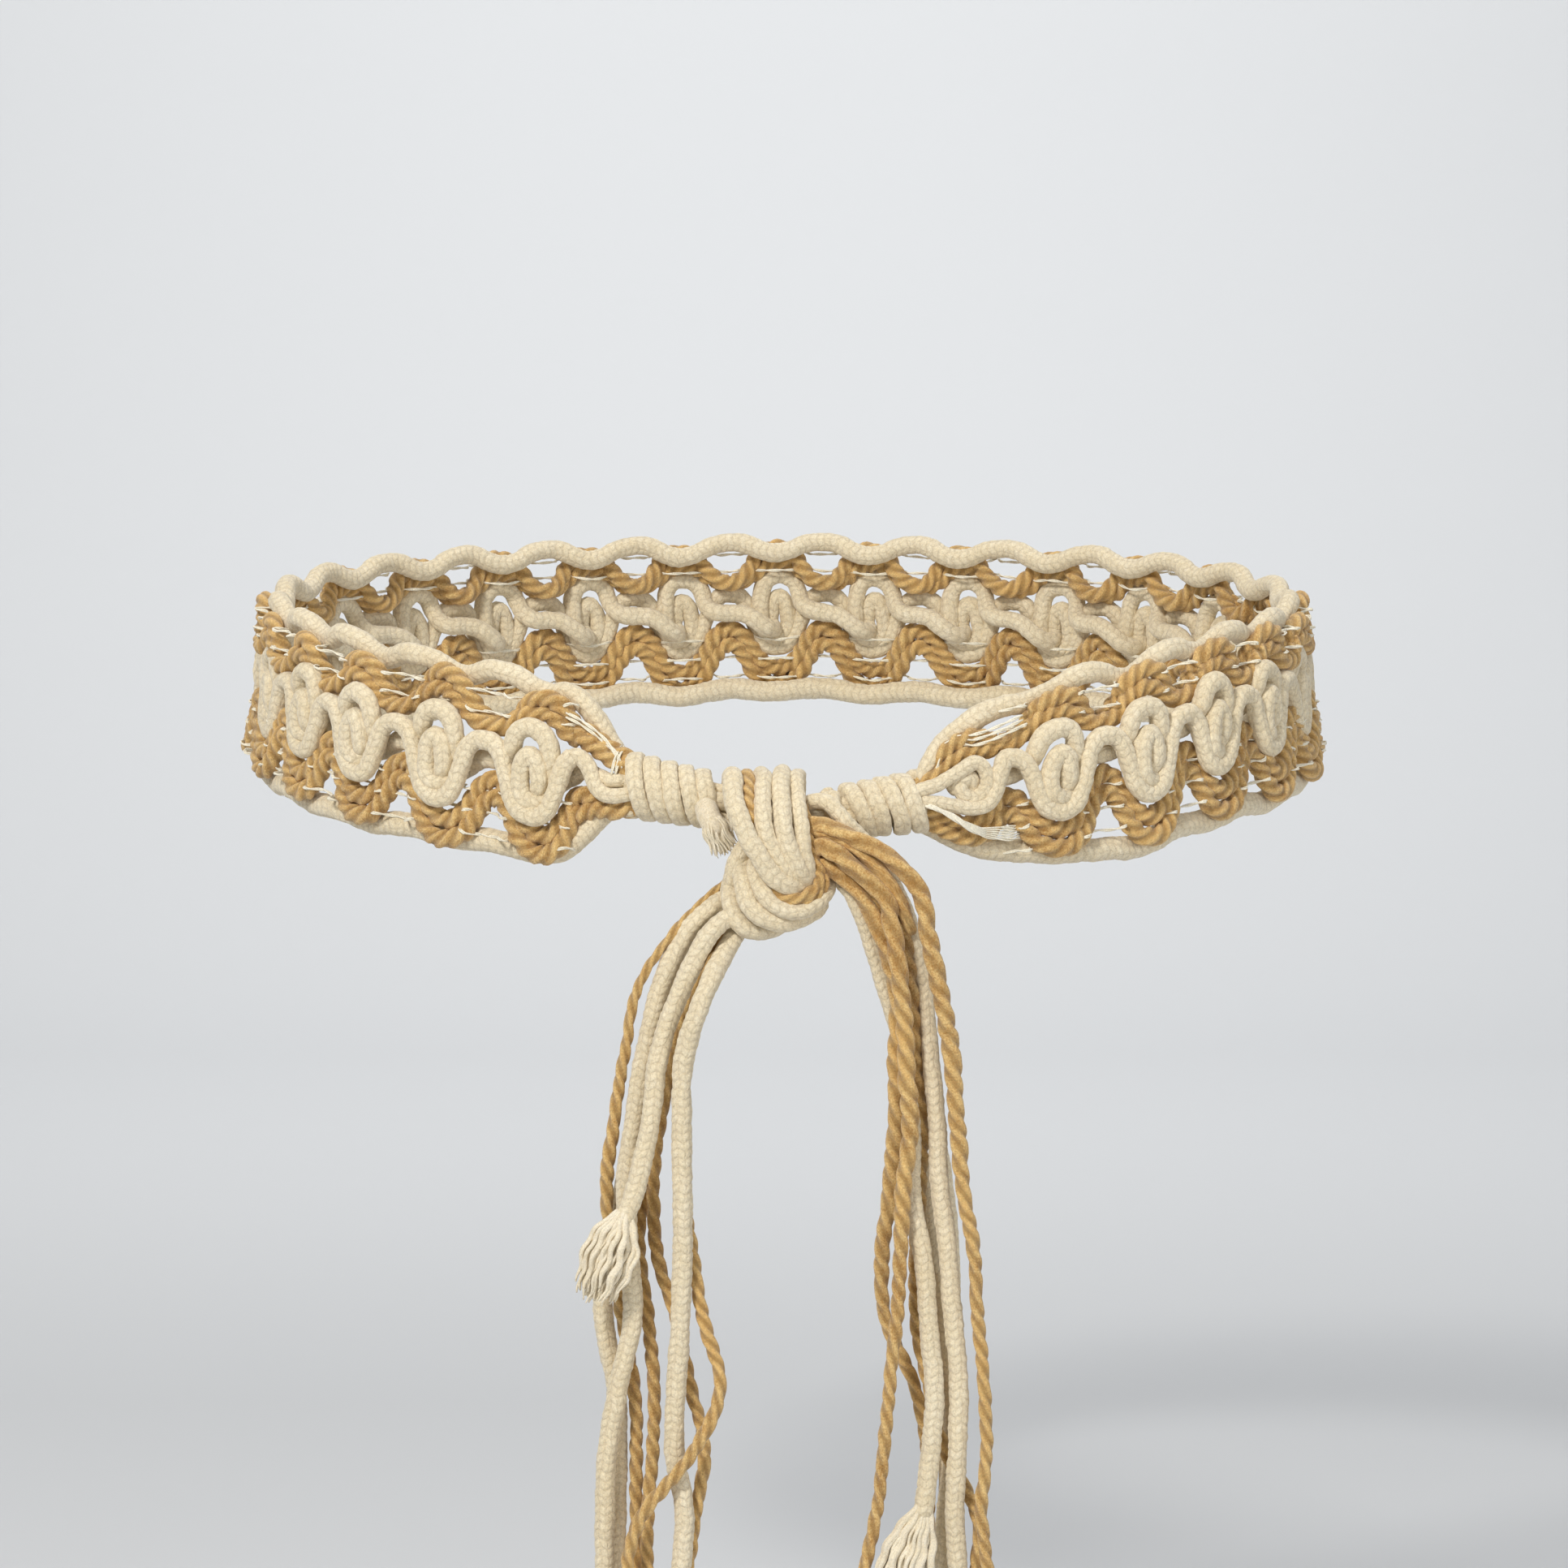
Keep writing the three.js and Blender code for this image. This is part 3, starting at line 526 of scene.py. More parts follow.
def cloth_material(name, light, dark, shade_colour, rough, sheen, fibre_scale, braid=False, twist=False, warm=None, bump=0.00025, specks=0.5):
    m, nt, bsdf = new_material(name)
    tc = node(nt, "ShaderNodeTexCoord")
    obj = tc.outputs["Object"]
    sep = node(nt, "ShaderNodeSeparateXYZ")
    nt.links.new(tc.outputs["UV"], sep.inputs[0])
    U, V = sep.outputs[0], sep.outputs[1]
    tone = node(nt, "ShaderNodeAttribute", attribute_name="tone").outputs["Fac"]
    big = noise(nt, obj, 40, 2)                       # patches a couple of centimetres wide
    mid = noise(nt, obj, 520, 3)                      # mottling of a few millimetres
    fine = noise(nt, obj, fibre_scale, 4, 0.7)
    # fibre streaks run along the strand
    comb = node(nt, "ShaderNodeCombineXYZ")
    if twist:
        nt.links.new(math_node(nt, "MULTIPLY", U, 1.2), comb.inputs[0])
        nt.links.new(math_node(nt, "MULTIPLY_ADD", U, -0.35, math_node(nt, "MULTIPLY", V, 1.0)), comb.inputs[1])
        streak = noise(nt, comb.outputs[0], 27, 4, 0.62)
    else:
        nt.links.new(math_node(nt, "MULTIPLY", U, 0.35), comb.inputs[0])
        nt.links.new(math_node(nt, "MULTIPLY", V, 6.0), comb.inputs[1])
        streak = noise(nt, comb.outputs[0], 9, 3, 0.6)
    fac = math_node(nt, "ADD", math_node(nt, "MULTIPLY", mid, 0.35), math_node(nt, "MULTIPLY", streak, 0.65))
    fac = math_node(nt, "ADD", math_node(nt, "MULTIPLY", fac, 0.75), math_node(nt, "MULTIPLY", big, 0.25))
    col = colour_ramp(nt, fac, [(0.38, dark), (0.61, light)] if twist else [(0.34, dark), (0.62, light)])
    if warm is not None:
        col = mix(nt, math_node(nt, "MULTIPLY", math_node(nt, "SUBTRACT", big, 0.45, clamp=True), 2.2, clamp=True), col, warm)
    height = None
    if braid:
        cols = math_node(nt, "MULTIPLY", V, float(BRAID_COLS))
        tri = math_node(nt, "MULTIPLY", math_node(nt, "ABSOLUTE", math_node(nt, "SUBTRACT", math_node(nt, "FRACT", cols), 0.5)), 2.0)
        phase = math_node(nt, "ADD", U, math_node(nt, "MULTIPLY", tri, 0.5))
        wave = math_node(nt, "SQRT", math_node(nt, "ABSOLUTE", math_node(nt, "SINE", math_node(nt, "MULTIPLY", phase, math.pi))))
        split = math_node(nt, "MULTIPLY", math_node(nt, "ABSOLUTE", math_node(nt, "SINE", math_node(nt, "MULTIPLY", cols, 2 * math.pi))), 1.7, clamp=True)
        height = math_node(nt, "MULTIPLY", wave, math_node(nt, "MULTIPLY_ADD", split, 0.65, 0.35))
        each = white(nt, math_node(nt, "FLOOR", phase), math_node(nt, "FLOOR", math_node(nt, "MULTIPLY", cols, 2.0)))
        stitch_shade = math_node(nt, "SUBTRACT", 1.0, height, clamp=True)
        # painted shade in the recesses between the stitches; the mottling hides parts of the stitches
        stitch_shade = math_node(nt, "MULTIPLY", math_node(nt, "POWER", stitch_shade, 1.6), math_node(nt, "MULTIPLY_ADD", mid, 1.5, -0.25, clamp=True))
        col = mix(nt, math_node(nt, "MULTIPLY", stitch_shade, 0.46, clamp=True), col, shade_colour)
        col = mix(nt, math_node(nt, "MULTIPLY", each, 0.22), col, dark)
    # painted shade: mixes towards the shade colour where the vertex tone is high (grooves, recesses, shaded parts),
    # plus random darkening of loose yarns
    col = mix(nt, math_node(nt, "MULTIPLY", math_node(nt, "MAXIMUM", tone, 0.0), 0.6 if twist else 0.18, clamp=True), col, shade_colour)
    speck = math_node(nt, "MULTIPLY_ADD", math_node(nt, "SUBTRACT", fine, 0.5), specks * 2, 1.0)
    hsv = node(nt, "ShaderNodeHueSaturation")
    nt.links.new(speck, hsv.inputs["Value"])
    nt.links.new(col, hsv.inputs["Color"])
    nt.links.new(hsv.outputs[0], bsdf.inputs["Base Color"])
    bsdf.inputs["Roughness"].default_value = rough
    bsdf.inputs["Specular IOR Level"].default_value = 0.3 if twist else 0.2
    bsdf.inputs["Sheen Weight"].default_value = sheen
    bsdf.inputs["Sheen Roughness"].default_value = 0.45
    h = math_node(nt, "ADD", math_node(nt, "MULTIPLY", fine, 0.9), math_node(nt, "MULTIPLY", streak, 1.0 if twist else 0.3))
    if height is not None:
        h = math_node(nt, "ADD", h, math_node(nt, "MULTIPLY", height, 0.6))
    b = node(nt, "ShaderNodeBump")
    b.inputs["Strength"].default_value = 0.9
    b.inputs["Distance"].default_value = bump
    nt.links.new(h, b.inputs["Height"])
    nt.links.new(b.outputs[0], bsdf.inputs["Normal"])
    return m


# the fourth colour of each is the painted shade colour of grooves and recesses
CREAM = cloth_material("cream_braid", srgb("F6EACF"), srgb("E6D4AE"), srgb("9A7A4C"), 0.92, 0.35, 2300, braid=True, bump=0.0003)
TAN = cloth_material("tan_twist", srgb("FDDD99"), srgb("C28F4A"), srgb("8A6026"), 0.55, 0.3, 2200, twist=True, warm=srgb("E4B164"), bump=0.0004)
FRAY = cloth_material("cream_fibre", srgb("FBF2DE"), srgb("E8D7B2"), srgb("9A7C4E"), 0.75, 0.4, 2600, bump=0.00015)
THREAD = cloth_material("ivory_thread", srgb("FBF6E6"), srgb("EFE4C6"), srgb("B4A274"), 0.6, 0.3, 3000, bump=0.0001)

# ---------------------------------------------------------------- the band
def along(k, u):
    return MOTIF_AT[k] + u * MOTIF_ROOM[k + (u > 0)] / PITCH


def band_path(right_end, table, left_end, per=8, grow=None, skip=(-99, 99)):
    """Points all round the waist: the right half motif, every full motif, the left half motif.
    grow: the table of how each part of the round differs from the drawn motif. skip: the first motif's first u, the last one's last."""
    rows = [tuple(r) for r in right_end]
    for k in range(MOTIFS):
        rng = np.random.default_rng(1000 + k)
        du, dh, lean = rng.uniform(-0.3, 0.3), rng.uniform(-0.35, 0.35), rng.uniform(-0.035, 0.035)
        for u, h, n in table:
            if (k == 0 and u < skip[0]) or (k == MOTIFS - 1 and u > skip[1]):
                continue
            ease = max(0.0, 1 - abs(u) / (PITCH / 2))
            at, h, n = along(k, u) + (du + lean * h) * ease, h + dh * ease, n
            if grow is not None:
                up, down, on, out = (np.interp(at, [g[0] for g in grow["at"]], [g[j] for g in grow["at"]]) for j in (1, 2, 3, 4))
                h += up * h / grow["top"] if h > 0 else down * h / grow["bottom"]
                h += grow.get("lift", lambda v: 0.0)(at)
                at, n = at + on, n + out
            rows.append((at, h, n))
    rows += [(s + GIRTH, h, n) for s, h, n in left_end]
    q = catmull(rows, per)
    return place(q[:, 0], q[:, 1], q[:, 2])


# how the motifs differ round the waist. Columns: at s, upper crest mm, lower crest mm, shift along s, shift outward
GROW_TOP = {"top": 19.1, "bottom": 19.1, "at": [(49, -2.4, 0, 0, 0), (62, -2.8, 0, 2.0, 0), (74, -1.6, 0, 2.0, 0), (86, -0.6, 0, 2.0, 0), (108, -1.2, 0, 2.0, 0), (131, -0.8, 0, 0.8, 0), (154, -2.2, 0, 0.6, 0),
            (200, -1.5, 0, 0, 0), (510, -1.5, 0, 0, 0), (554, -2.0, 0, -1.6, 0), (580, -2.4, 0, -2.2, 0), (603, -1.8, 0, -2.2, 0), (627, -0.2, 0, -1.4, 0), (651, -1.8, 0, 1.4, 0), (659, -1.2, 0, 0.4, 0), (662, -1.2, 0, 0, 0)]}
GROW_BOTTOM = {"top": 19.3, "bottom": -19.3, "at": [(49, 0, 1.5, 0, 0), (62, 0, 1.5, 1.7, 0), (74, 0, 0.4, 1.7, 0), (86, 0, -0.7, 1.7, 0), (108, 0, -0.8, 1.6, 0), (131, 0, -0.8, 1.4, 0), (154, 0, 0.2, 0.6, 0),
               (200, 0, 0.4, 0, 0), (510, 0, 0.4, 0, 0), (554, 0, 1.8, 2.2, 0), (580, 0, 0.8, 1.8, 0), (603, 0, 1.0, 0.6, 0), (627, 0, -0.1, 1.4, 0), (651, 0, 1.3, 2.0, 0), (659, 0, 1.2, 0.4, 0), (662, 0, 1.2, 0, 0)]}
CREAM_AT = [(49, 0, 1.4, 0, 0), (62, 0, 1.4, 0.8, 0), (86, 1.1, 1.3, 0, 0), (108, 1.2, 2.1, -2.0, -0.3), (131, 0.6, 2.5, -3.0, -2.0), (154, 0.6, 2.6, -2.6, -4.0), (180, 0.6, 2.4, -1.0, -4.8), (230, 0.8, 1.8, 0, -2.4),
            (480, 0.8, 1.8, 0, -2.4), (530, 0.8, 2.6, 1.0, -4.8), (554, 0.8, 2.8, 2.6, -4.0), (580, 0.8, 3.0, 3.2, -2.0), (603, 0.8, 2.8, 1.2, -0.3), (627, 0.8, 1.1, 0.5, 0), (651, 1.1, 1.3, 0.2, 0), (662, 0.6, 1.3, 0, 0)]
GROW_MEANDER = {"top": 60.0, "bottom": -11.3, "at": CREAM_AT}
GROW_KNOTS = {"top": 9.2, "bottom": -9.0, "at": CREAM_AT}
EVEN = [(0, 0, 0, 0, 0), (710, 0, 0, 0, 0)]
GROW_EDGE_TOP = {"top": 20.0, "bottom": -20.0, "at": EVEN, "lift": lambda v: np.interp(v, (49, 70, 131, 154, 200, 510, 554, 580, 600, 651, 660), (0, -0.3, -0.4, -0.8, -0.6, -0.6, -0.8, 0.2, 1.0, 1.2, 0.6))}
GROW_EDGE_BOTTOM = {"top": 20.0, "bottom": -20.0, "at": EVEN, "lift": lambda v: np.interp(v, (54, 60, 74, 100, 137, 165, 220, 500, 554, 588, 612, 635, 648, 657), (0.8, 0, -3.6, -4.0, -4.1, -3.6, -2.2, -2.2, -2.6, -2.9, -1.2, -0.5, -0.2, 1.2))}


# edge cords: columns u along the motif, h across the band, n outward
EDGE_TOP = [(-12.2, 20.5, -1.6), (-7, 19.9, -2.2), (-2.6, 18.1, -3.1), (1.5, 17.5, -3.3), (5, 18.4, -2.9), (8.6, 20.0, -2.0)]
EDGE_BOTTOM = [(-12.2, -17.0, -1.9), (-7, -17.3, -2.4), (-2.6, -18.0, -3.1), (1.5, -18.2, -3.2), (5, -17.9, -2.9), (8.6, -17.3, -2.2)]
EDGE_TOP_R = [(29.9, 2.7, -1.2), (31.3, 4.4, 0.4), (32, 6.5, 0.8), (33.3, 8.5, 0.6), (35.3, 10.3, -0.6), (38, 12.2, -1.8), (41.4, 14, -2.4), (46.7, 16.3, -2.4), (52.5, 17, -2.3), (57.6, 16.6, -2.9)]
EDGE_BOTTOM_R = [(29.6, -3.5, -1.4), (32.6, -5.6, -2.2), (36.2, -8.0, -2.4), (40.3, -10.6, -2.4), (44.4, -12.9, -2.4), (49.2, -14.9, -2.3), (54.5, -16.5, -2.4)]
EDGE_TOP_L = [(-49.1, 18.2, -2.2), (-46.1, 15.8, -2.2), (-43.1, 12.5, -2.3), (-40.6, 9.0, -2.2), (-38.4, 6.6, -1.6), (-36.6, 5.2, -1), (-35.1, 4.3, -0.4), (-32.6, 3.4, -0.4)]
EDGE_BOTTOM_L = [(-49.6, -15.2, -2), (-46.8, -12.5, -1.8), (-43.4, -9.2, -1.4), (-40.4, -6.6, -0.8), (-37.8, -5.0, -0.2), (-35.2, -4.0, 0.2), (-32.6, -2.6, 0.1)]
EDGE_D = 4.9
EDGE_ENDS = ([0, 0.009, 0.016, 0.03, 0.05, 0.975, 0.99, 1], [0.72, 0.76, 1.05, 1.12, 1.0, 1.0, 0.82, 0.74])
ENDS = ([0, 0.012, 0.03, 0.975, 0.99, 1], [0.7, 0.78, 1.0, 1.0, 0.82, 0.74])   # the cords narrow where the whipping grips them
for name, table, r_end, l_end, nodes, seed in (
        ("edge_cord_top_braid", EDGE_TOP, EDGE_TOP_R, EDGE_TOP_L, "edge_cord_top", 11),
        ("edge_cord_bottom_braid", EDGE_BOTTOM, EDGE_BOTTOM_R, EDGE_BOTTOM_L, "edge_cord_bottom", 12)):
    b = Build()
    top = table is EDGE_TOP
    path = band_path(r_end, table, l_end, grow=GROW_EDGE_TOP if top else GROW_EDGE_BOTTOM, skip=(1, 5.5) if top else (-3, 5.5))
    braided(b, path, EDGE_D if top else EDGE_D + 0.6, seed, roll=seed, thin=EDGE_ENDS if top else ENDS)
    finish_piece(b.mesh(name), "cream_braided_cord", CREAM, nodes)

# tan zigzags: an inner and an outer strand on each side
TT_IN = [(-12.2, 9.3, 1.3), (-9.4, 9.8, 1.2), (-7, 11.4, 1.1), (-4.4, 13.6, 1.1), (-1.4, 15.0, 1.2), (1.6, 14.9, 1.3), (4.4, 13.4, 1.3), (6.8, 11.0, 1.3), (9.4, 9.5, 1.3)]
TT_OUT = [(-12.2, 9.8, -2.0), (-9, 10.8, -1.9), (-6.4, 13.4, -1.2), (-4.0, 16.9, 0.2), (-1.2, 18.8, 1.3), (2.0, 19.0, 1.6), (5.0, 17.3, 1.5), (7.2, 14.0, 0.6), (9.4, 11.0, -1.0)]
TB_IN = [(-12.2, -3.4, 0.1), (-9.4, -4.6, 0.2), (-7.2, -7.8, 0.3), (-5.2, -11.6, 0.8), (-2.4, -14.3, 1.1), (0.8, -14.8, 1.2), (4.0, -13.1, 1.0), (6.4, -9.2, 0.5), (8.8, -5.2, 0.2)]
TB_OUT = [(-12.2, -7.7, 0.2), (-9.8, -8.9, 0.3), (-7.8, -12.2, 0.6), (-5.6, -16.4, 1.1), (-2.4, -19.1, 1.5), (1.4, -19.4, 1.6), (5.0, -17.2, 1.2), (7.4, -12.9, 0.7), (9.6, -9.0, 0.3)]
TT_IN_R = [(29.6, 2.7, 1.5), (32.8, 4.4, 2.4), (36, 6.4, 2), (39.6, 8.4, 1.8), (43.4, 9, 1.5), (46.6, 8.4, 1.3), (48.8, 8.8, 1.3)]
TT_OUT_R = [(29.6, 3.8, 0.5), (32.8, 6.2, 0.8), (35.6, 9.2, 1.2), (39.2, 11.6, 1.4), (42.8, 12.4, 1.2), (46.4, 11.2, 0.4), (48.2, 10.2, -1)]
TB_IN_R = [(29.6, -1.6, 1.1), (32.8, -2.6, 1.8), (36.2, -4.6, 1.2), (40.6, -7, 0.9), (44.6, -7.4, 0.7), (47.6, -5.4, 0.4), (48.8, -4.0, 0.2)]
TB_OUT_R = [(29.6, -3.1, 0.4), (32.8, -5, 0.6), (36.6, -7.8, 0.6), (41, -10.4, 0.7), (45, -10.8, 0.7), (47.8, -9.2, 0.5), (49.0, -7.8, 0.3)]
TT_IN_L = [(-47, 9.4, 1.4), (-43.6, 7.6, 1.6), (-40, 5.4, 2), (-36, 3.6, 2.6), (-32.6, 2.2, 1.6)]
TT_OUT_L = [(-46.6, 11.2, 0.2), (-44.6, 10.4, 0.6), (-41.8, 8.6, 0.8), (-38.6, 6.8, 0.8), (-35.4, 5.6, 1), (-32.6, 3.5, 0.6)]
TB_IN_L = [(-47.4, -4.2, 0.4), (-45.8, -3.6, 0.4), (-43.4, -3.9, 0.6), (-40, -4.2, 1), (-36, -3.4, 2.2), (-32.6, -2.1, 1.4)]
TB_OUT_L = [(-46.6, -8.2, 0.6), (-44.8, -7.2, 0.8), (-43, -6.6, 1.2), (-40, -6.2, 1.8), (-36, -5.8, 2), (-32.6, -3.6, 1.2)]
TAN_TOP_D, TAN_BOTTOM_D = 4.5, 4.8
for name, strands, nodes in (
        ("tan_zigzag_top_twist", ((TT_IN_R, TT_IN, TT_IN_L, 21), (TT_OUT_R, TT_OUT, TT_OUT_L, 22)), "tan_zigzag_top"),
        ("tan_zigzag_bottom_twist", ((TB_IN_R, TB_IN, TB_IN_L, 23), (TB_OUT_R, TB_OUT, TB_OUT_L, 24)), "tan_zigzag_bottom")):
    b = Build()
    for r_end, table, l_end, seed in strands:
        top = nodes == "tan_zigzag_top"
        twisted(b, band_path(r_end, table, l_end, grow=GROW_TOP if top else GROW_BOTTOM), TAN_TOP_D if top else TAN_BOTTOM_D, seed, pitch=10.5, step=0.8, wander=0.2, thin=([0, 8, 22], [0.72, 0.8, 1.0]))
    finish_piece(b.mesh(name), "tan_twisted_cord", TAN, nodes)

# the two cream cords of the motifs
MEANDER = [(-12.2, 5.3, 4.5), (-9.8, 4.9, 4.5), (-7.8, 3.0, 4.6), (-6.6, 0.2, 4.6), (-5.6, -3.6, 4.6), (-4.4, -7.4, 4.5), (-2.4, -10.3, 4.4), (0.5, -11.3, 4.4),
           (3.2, -10.0, 4.4), (4.8, -7.0, 4.5), (5.9, -3.4, 4.6), (6.8, -0.2, 4.6), (7.8, 2.8, 4.6), (9.9, 4.9, 4.5)]
MEANDER_R = [(29, 0.2, 3.2), (30.6, -0.2, 4.4), (32.3, -0.7, 4.9), (37.4, -2.2, 4.8), (42.2, -3.8, 4.6), (45.3, -3.7, 4.5), (47.2, -1.5, 4.5), (48.2, 1.5, 4.6), (49.6, 4.8, 4.6)]
MEANDER_L = [(-48.8, 3.4, 4.5), (-46.2, 4.9, 4.5), (-43.6, 2.6, 4.6), (-41.9, -1.2, 4.7), (-39.3, -3, 4.9), (-35.6, -2.4, 5), (-32.6, -1.5, 3.1)]
KNOTS = [(-12.2, 1.2, -0.2), (-9.8, 1.3, -0.2), (-7.6, 1.8, 0.3), (-6.0, 3.2, 2.2), (-5.2, 5.4, 4.0), (-4.2, 7.6, 4.6), (-2.2, 9.0, 4.7), (0.2, 9.2, 4.7), (2.4, 8.4, 4.6), (3.8, 6.6, 4.5),
         (4.3, 4.2, 4.0), (4.5, 1.4, 3.0), (4.4, -1.6, 2.2), (3.7, -4.6, 2.0), (2.0, -7.0, 2.8), (-0.2, -7.7, 4.0), (-2.1, -6.3, 4.7), (-2.8, -3.6, 4.9), (-2.6, -0.8, 5.0), (-2.1, 1.8, 5.2),
         (-0.4, 3.7, 5.3), (1.3, 2.5, 5.2), (1.8, 0.0, 5.0), (1.9, -2.6, 4.5), (1.2, -4.6, 3.0), (1.5, -4.8, 0.6), (3.4, -3.4, -1.4), (6.2, -0.8, -1.7), (9.0, 0.8, -1.0)]
KNOTS_R = [(29, 1.6, 3.4), (30.2, 2.5, 4.6), (34.2, 3.3, 4.8), (38.5, 4.9, 4.7), (42.5, 6.2, 4.6), (45, 4.1, 4.4), (45.7, 1.1, 4.2), (44.6, -1.1, 3.9), (42.3, -1.8, 3.8), (40.1, -0.3, 3.8), (39.7, 1.8, 3.4), (42, 2.6, 2), (45.2, 2.1, 0.4), (47.4, 1.4, -0.4)]
KNOTS_L = [(-49.4, 1.2, -0.8), (-46.6, 1.6, -0.6), (-43.6, 1.4, 0.6), (-41.2, 0.8, 2.6), (-38.8, 0.4, 3.4), (-35.6, 1, 3.2), (-32.6, 0.6, 2)]
STRAND_D = 4.4
b = Build()
braided(b, band_path(MEANDER_R, MEANDER, MEANDER_L, grow=GROW_MEANDER), STRAND_D, 31, wander=0.2, thin=ENDS)
finish_piece(b.mesh("cream_meander_braid"), "cream_braided_cord", CREAM, "cream_meander")
b = Build()
braided(b, band_path(KNOTS_R, KNOTS, KNOTS_L, grow=GROW_KNOTS), STRAND_D + 0.2, 32, wander=0.2, thin=ENDS)
# what fills the first loop by the right neck
q = catmull([(37.4, 1.2, 2.0), (39.2, 2.4, 3.2), (41.2, 3.4, 3.4), (42.4, 1.8, 2.6), (41.4, 0.2, 1.4)], 8)
braided(b, place(q[:, 0], q[:, 1], q[:, 2]), 3.9, 33, wander=0.2)
finish_piece(b.mesh("cream_knots_braid"), "cream_braided_cord", CREAM, "cream_knots")

# binding threads: doubled, straight across the gaps, one stitch over each flank of the tan cords
def thread(b, line, twist=9.0, d=0.42, apart=0.2):
    """A doubled thread: two fine strands wound round each other."""
    line, l = even(line, 0.8 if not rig.quick() else 1.8)
    t, u, w = frames_along(line)
    for side in (0, math.pi):
        a = 2 * math.pi * l / twist + side
        two = line + (u * np.cos(a)[:, None] + w * np.sin(a)[:, None]) * apart
        plain(b, two, d, step=1.0 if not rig.quick() else 1.8, sides=4)


def thread_row(b, h0, over, seed):
    pts = []
    for k in range(MOTIFS):
        rng = np.random.default_rng(seed * 100 + k + 5)
        jig = rng.uniform(-0.5, 0.5, 6)
        for u, n, g in ((-12.2, 0.6, 0), (-9.6, 0.8, 1), (-8.1, over, 2), (-6.6, over, 3), (-5.2, -0.6, 4), (0, -2.6, 5), (5.2, -0.6, 4), (6.6, over, 3), (8.1, over, 2), (9.6, 0.8, 1)):
            pts.append((along(k, u), h0 + jig[g] * (0.9 if abs(u) < 9 else 0.5), n))
    q = catmull(pts, 4)
    thread(b, place(q[:, 0], q[:, 1], q[:, 2]))


def thread_at(b, rows, **more):
    q = catmull(rows, 8)
    thread(b, place(q[:, 0], q[:, 1], q[:, 2]), **more)


b = Build()
for h0, over, seed in ((16.3, 3.3, 7), (12.0, 3.4, 8)):
    thread_row(b, h0, over, seed)
# the last ones run on along the edge to the necks
for i, (up, out) in enumerate(((0, 0), (-1.1, 0.4), (-2.4, 0.6))):
    thread_at(b, [(54.6, 14.2 + up, 3.4), (50, 13.4 + up, 4.0 + out), (46.4, 12.8 + up, 3.6 + out), (43.0, 12.6 + up, 3.2), (39.0, 12.9 + up * 0.6, 2.2), (35.6, 11.2 + up * 0.4, 1.6)])
for i in range(1):
    thread_at(b, [(33.4 + 0.7 * i, 4.4 + 0.4 * i, 2.8), (34.6 + 0.7 * i, 7.2, 3.2), (35.4 + 0.8 * i, 10.2 + 0.1 * i, 2.0), (35.9 + 0.7 * i, 12.2, -0.6)], d=0.4)
for up in (0, 1.0):
    thread_at(b, [(-49.8, 13.6 + up, 3.2), (-46.2, 12.2 + up, 3.2), (-42.0, 9.6 + up, 2.6), (-39.2, 7.6 + up * 0.6, 3.0), (-37.2, 5.6 + up * 0.4, 3.6), (-36.0, 3.6, 4.2)])
for i in range(2):
    thread_at(b, [(-38.4 + 0.9 * i, 1.8, 4.6), (-38.0 + 0.9 * i, 4.2, 4.4), (-37.6 + 0.8 * i, 6.8, 3.2), (-37.4 + 0.7 * i, 8.4, 0.4)], d=0.42)
finish_piece(b.mesh("binding_threads_top"), "ivory_thread", THREAD)
b = Build()
for h0, over, seed in ((-16.3, 3.6, 9), (-11.2, 2.9, 10), (-6.0, 2.7, 11)):
    thread_row(b, h0, over, seed)
for i in range(6):  # a slack hank of threads that runs out of the right neck
    o = (i - 2.5) * 0.3
    thread_at(b, [(30.6, -0.8 + o * 0.2, 5.0), (32.6, -1.8 + o * 0.3, 6.8), (36.4, -4.4 + o * 0.6, 7.0), (39.6, -7.0 + o * 0.8, 6.2), (42.6, -9.0 + o * 1.0, 5.0), (45.4, -10.3 + o * 1.3, 3.9), (48.4, -11.1 + o * 1.8, 3.2), (51.4, -11.8 + o * 2.0, 2.4), (54.2, -12.2 + o * 1.7, 0.2), (57.0, -12.4 + o * 1.2, -2.0)], twist=11, d=0.34)
finish_piece(b.mesh("binding_threads_bottom"), "ivory_thread", THREAD)

# ---------------------------------------------------------------- necks
def whipping(name, s0, s1, r0, r1, turns, d, node_name, seed, lean=0.0, slack=0.12):
    """Close turns of cord round a neck, pressed flat side by side. The turns lean to the lower right."""
    b = Build()
    n = int(turns * 40)
    k = np.linspace(0, 1, n)
    ang = math.radians(-60) - 2 * math.pi * turns * k
    s = s0 + (s1 - s0) * k + slack * 2 * waver(k * 60, seed + 4)
    rad = (r0 + (r1 - r0) * k) - d / 2 + slack * waver(k * turns * 14, seed)
    at = s - (lean + 0.5 * lean * waver(k * 50, seed + 8)) * np.sin(ang)
    p = place(at, rad * np.sin(ang), rad * np.cos(ang))
    away = place(at, (rad + 1) * np.sin(ang), (rad + 1) * np.cos(ang)) - p
    braided(b, np.hstack([p, away]), d, seed, wander=0.03, step=0.5, sides=20, relief=0.13, press=0.75)
    core = place(np.linspace(s0 + 0.2, s1 - 0.2, 16), np.zeros(16), np.zeros(16))
    cp, cl = even(core, 1.2)
    ct, cu, cw = frames_along(cp)
    ca = np.linspace(0, 2 * math.pi, 20, endpoint=False)[None, :] + np.zeros((len(cp), 1))
    cr = (np.interp(cl / cl[-1], [0, 1], [r0 - d * 0.66, r1 - d * 0.66]))[:, None] * np.ones((1, 20))
    # painted shade: the core, seen only between the turns, is drawn darker
    b.sweep(cp, ct, cu, cw, cr, ca, cl / BRAID_PITCH, tone=1.0)
    return finish_piece(b.mesh(name), "cream_braided_cord", CREAM, node_name)


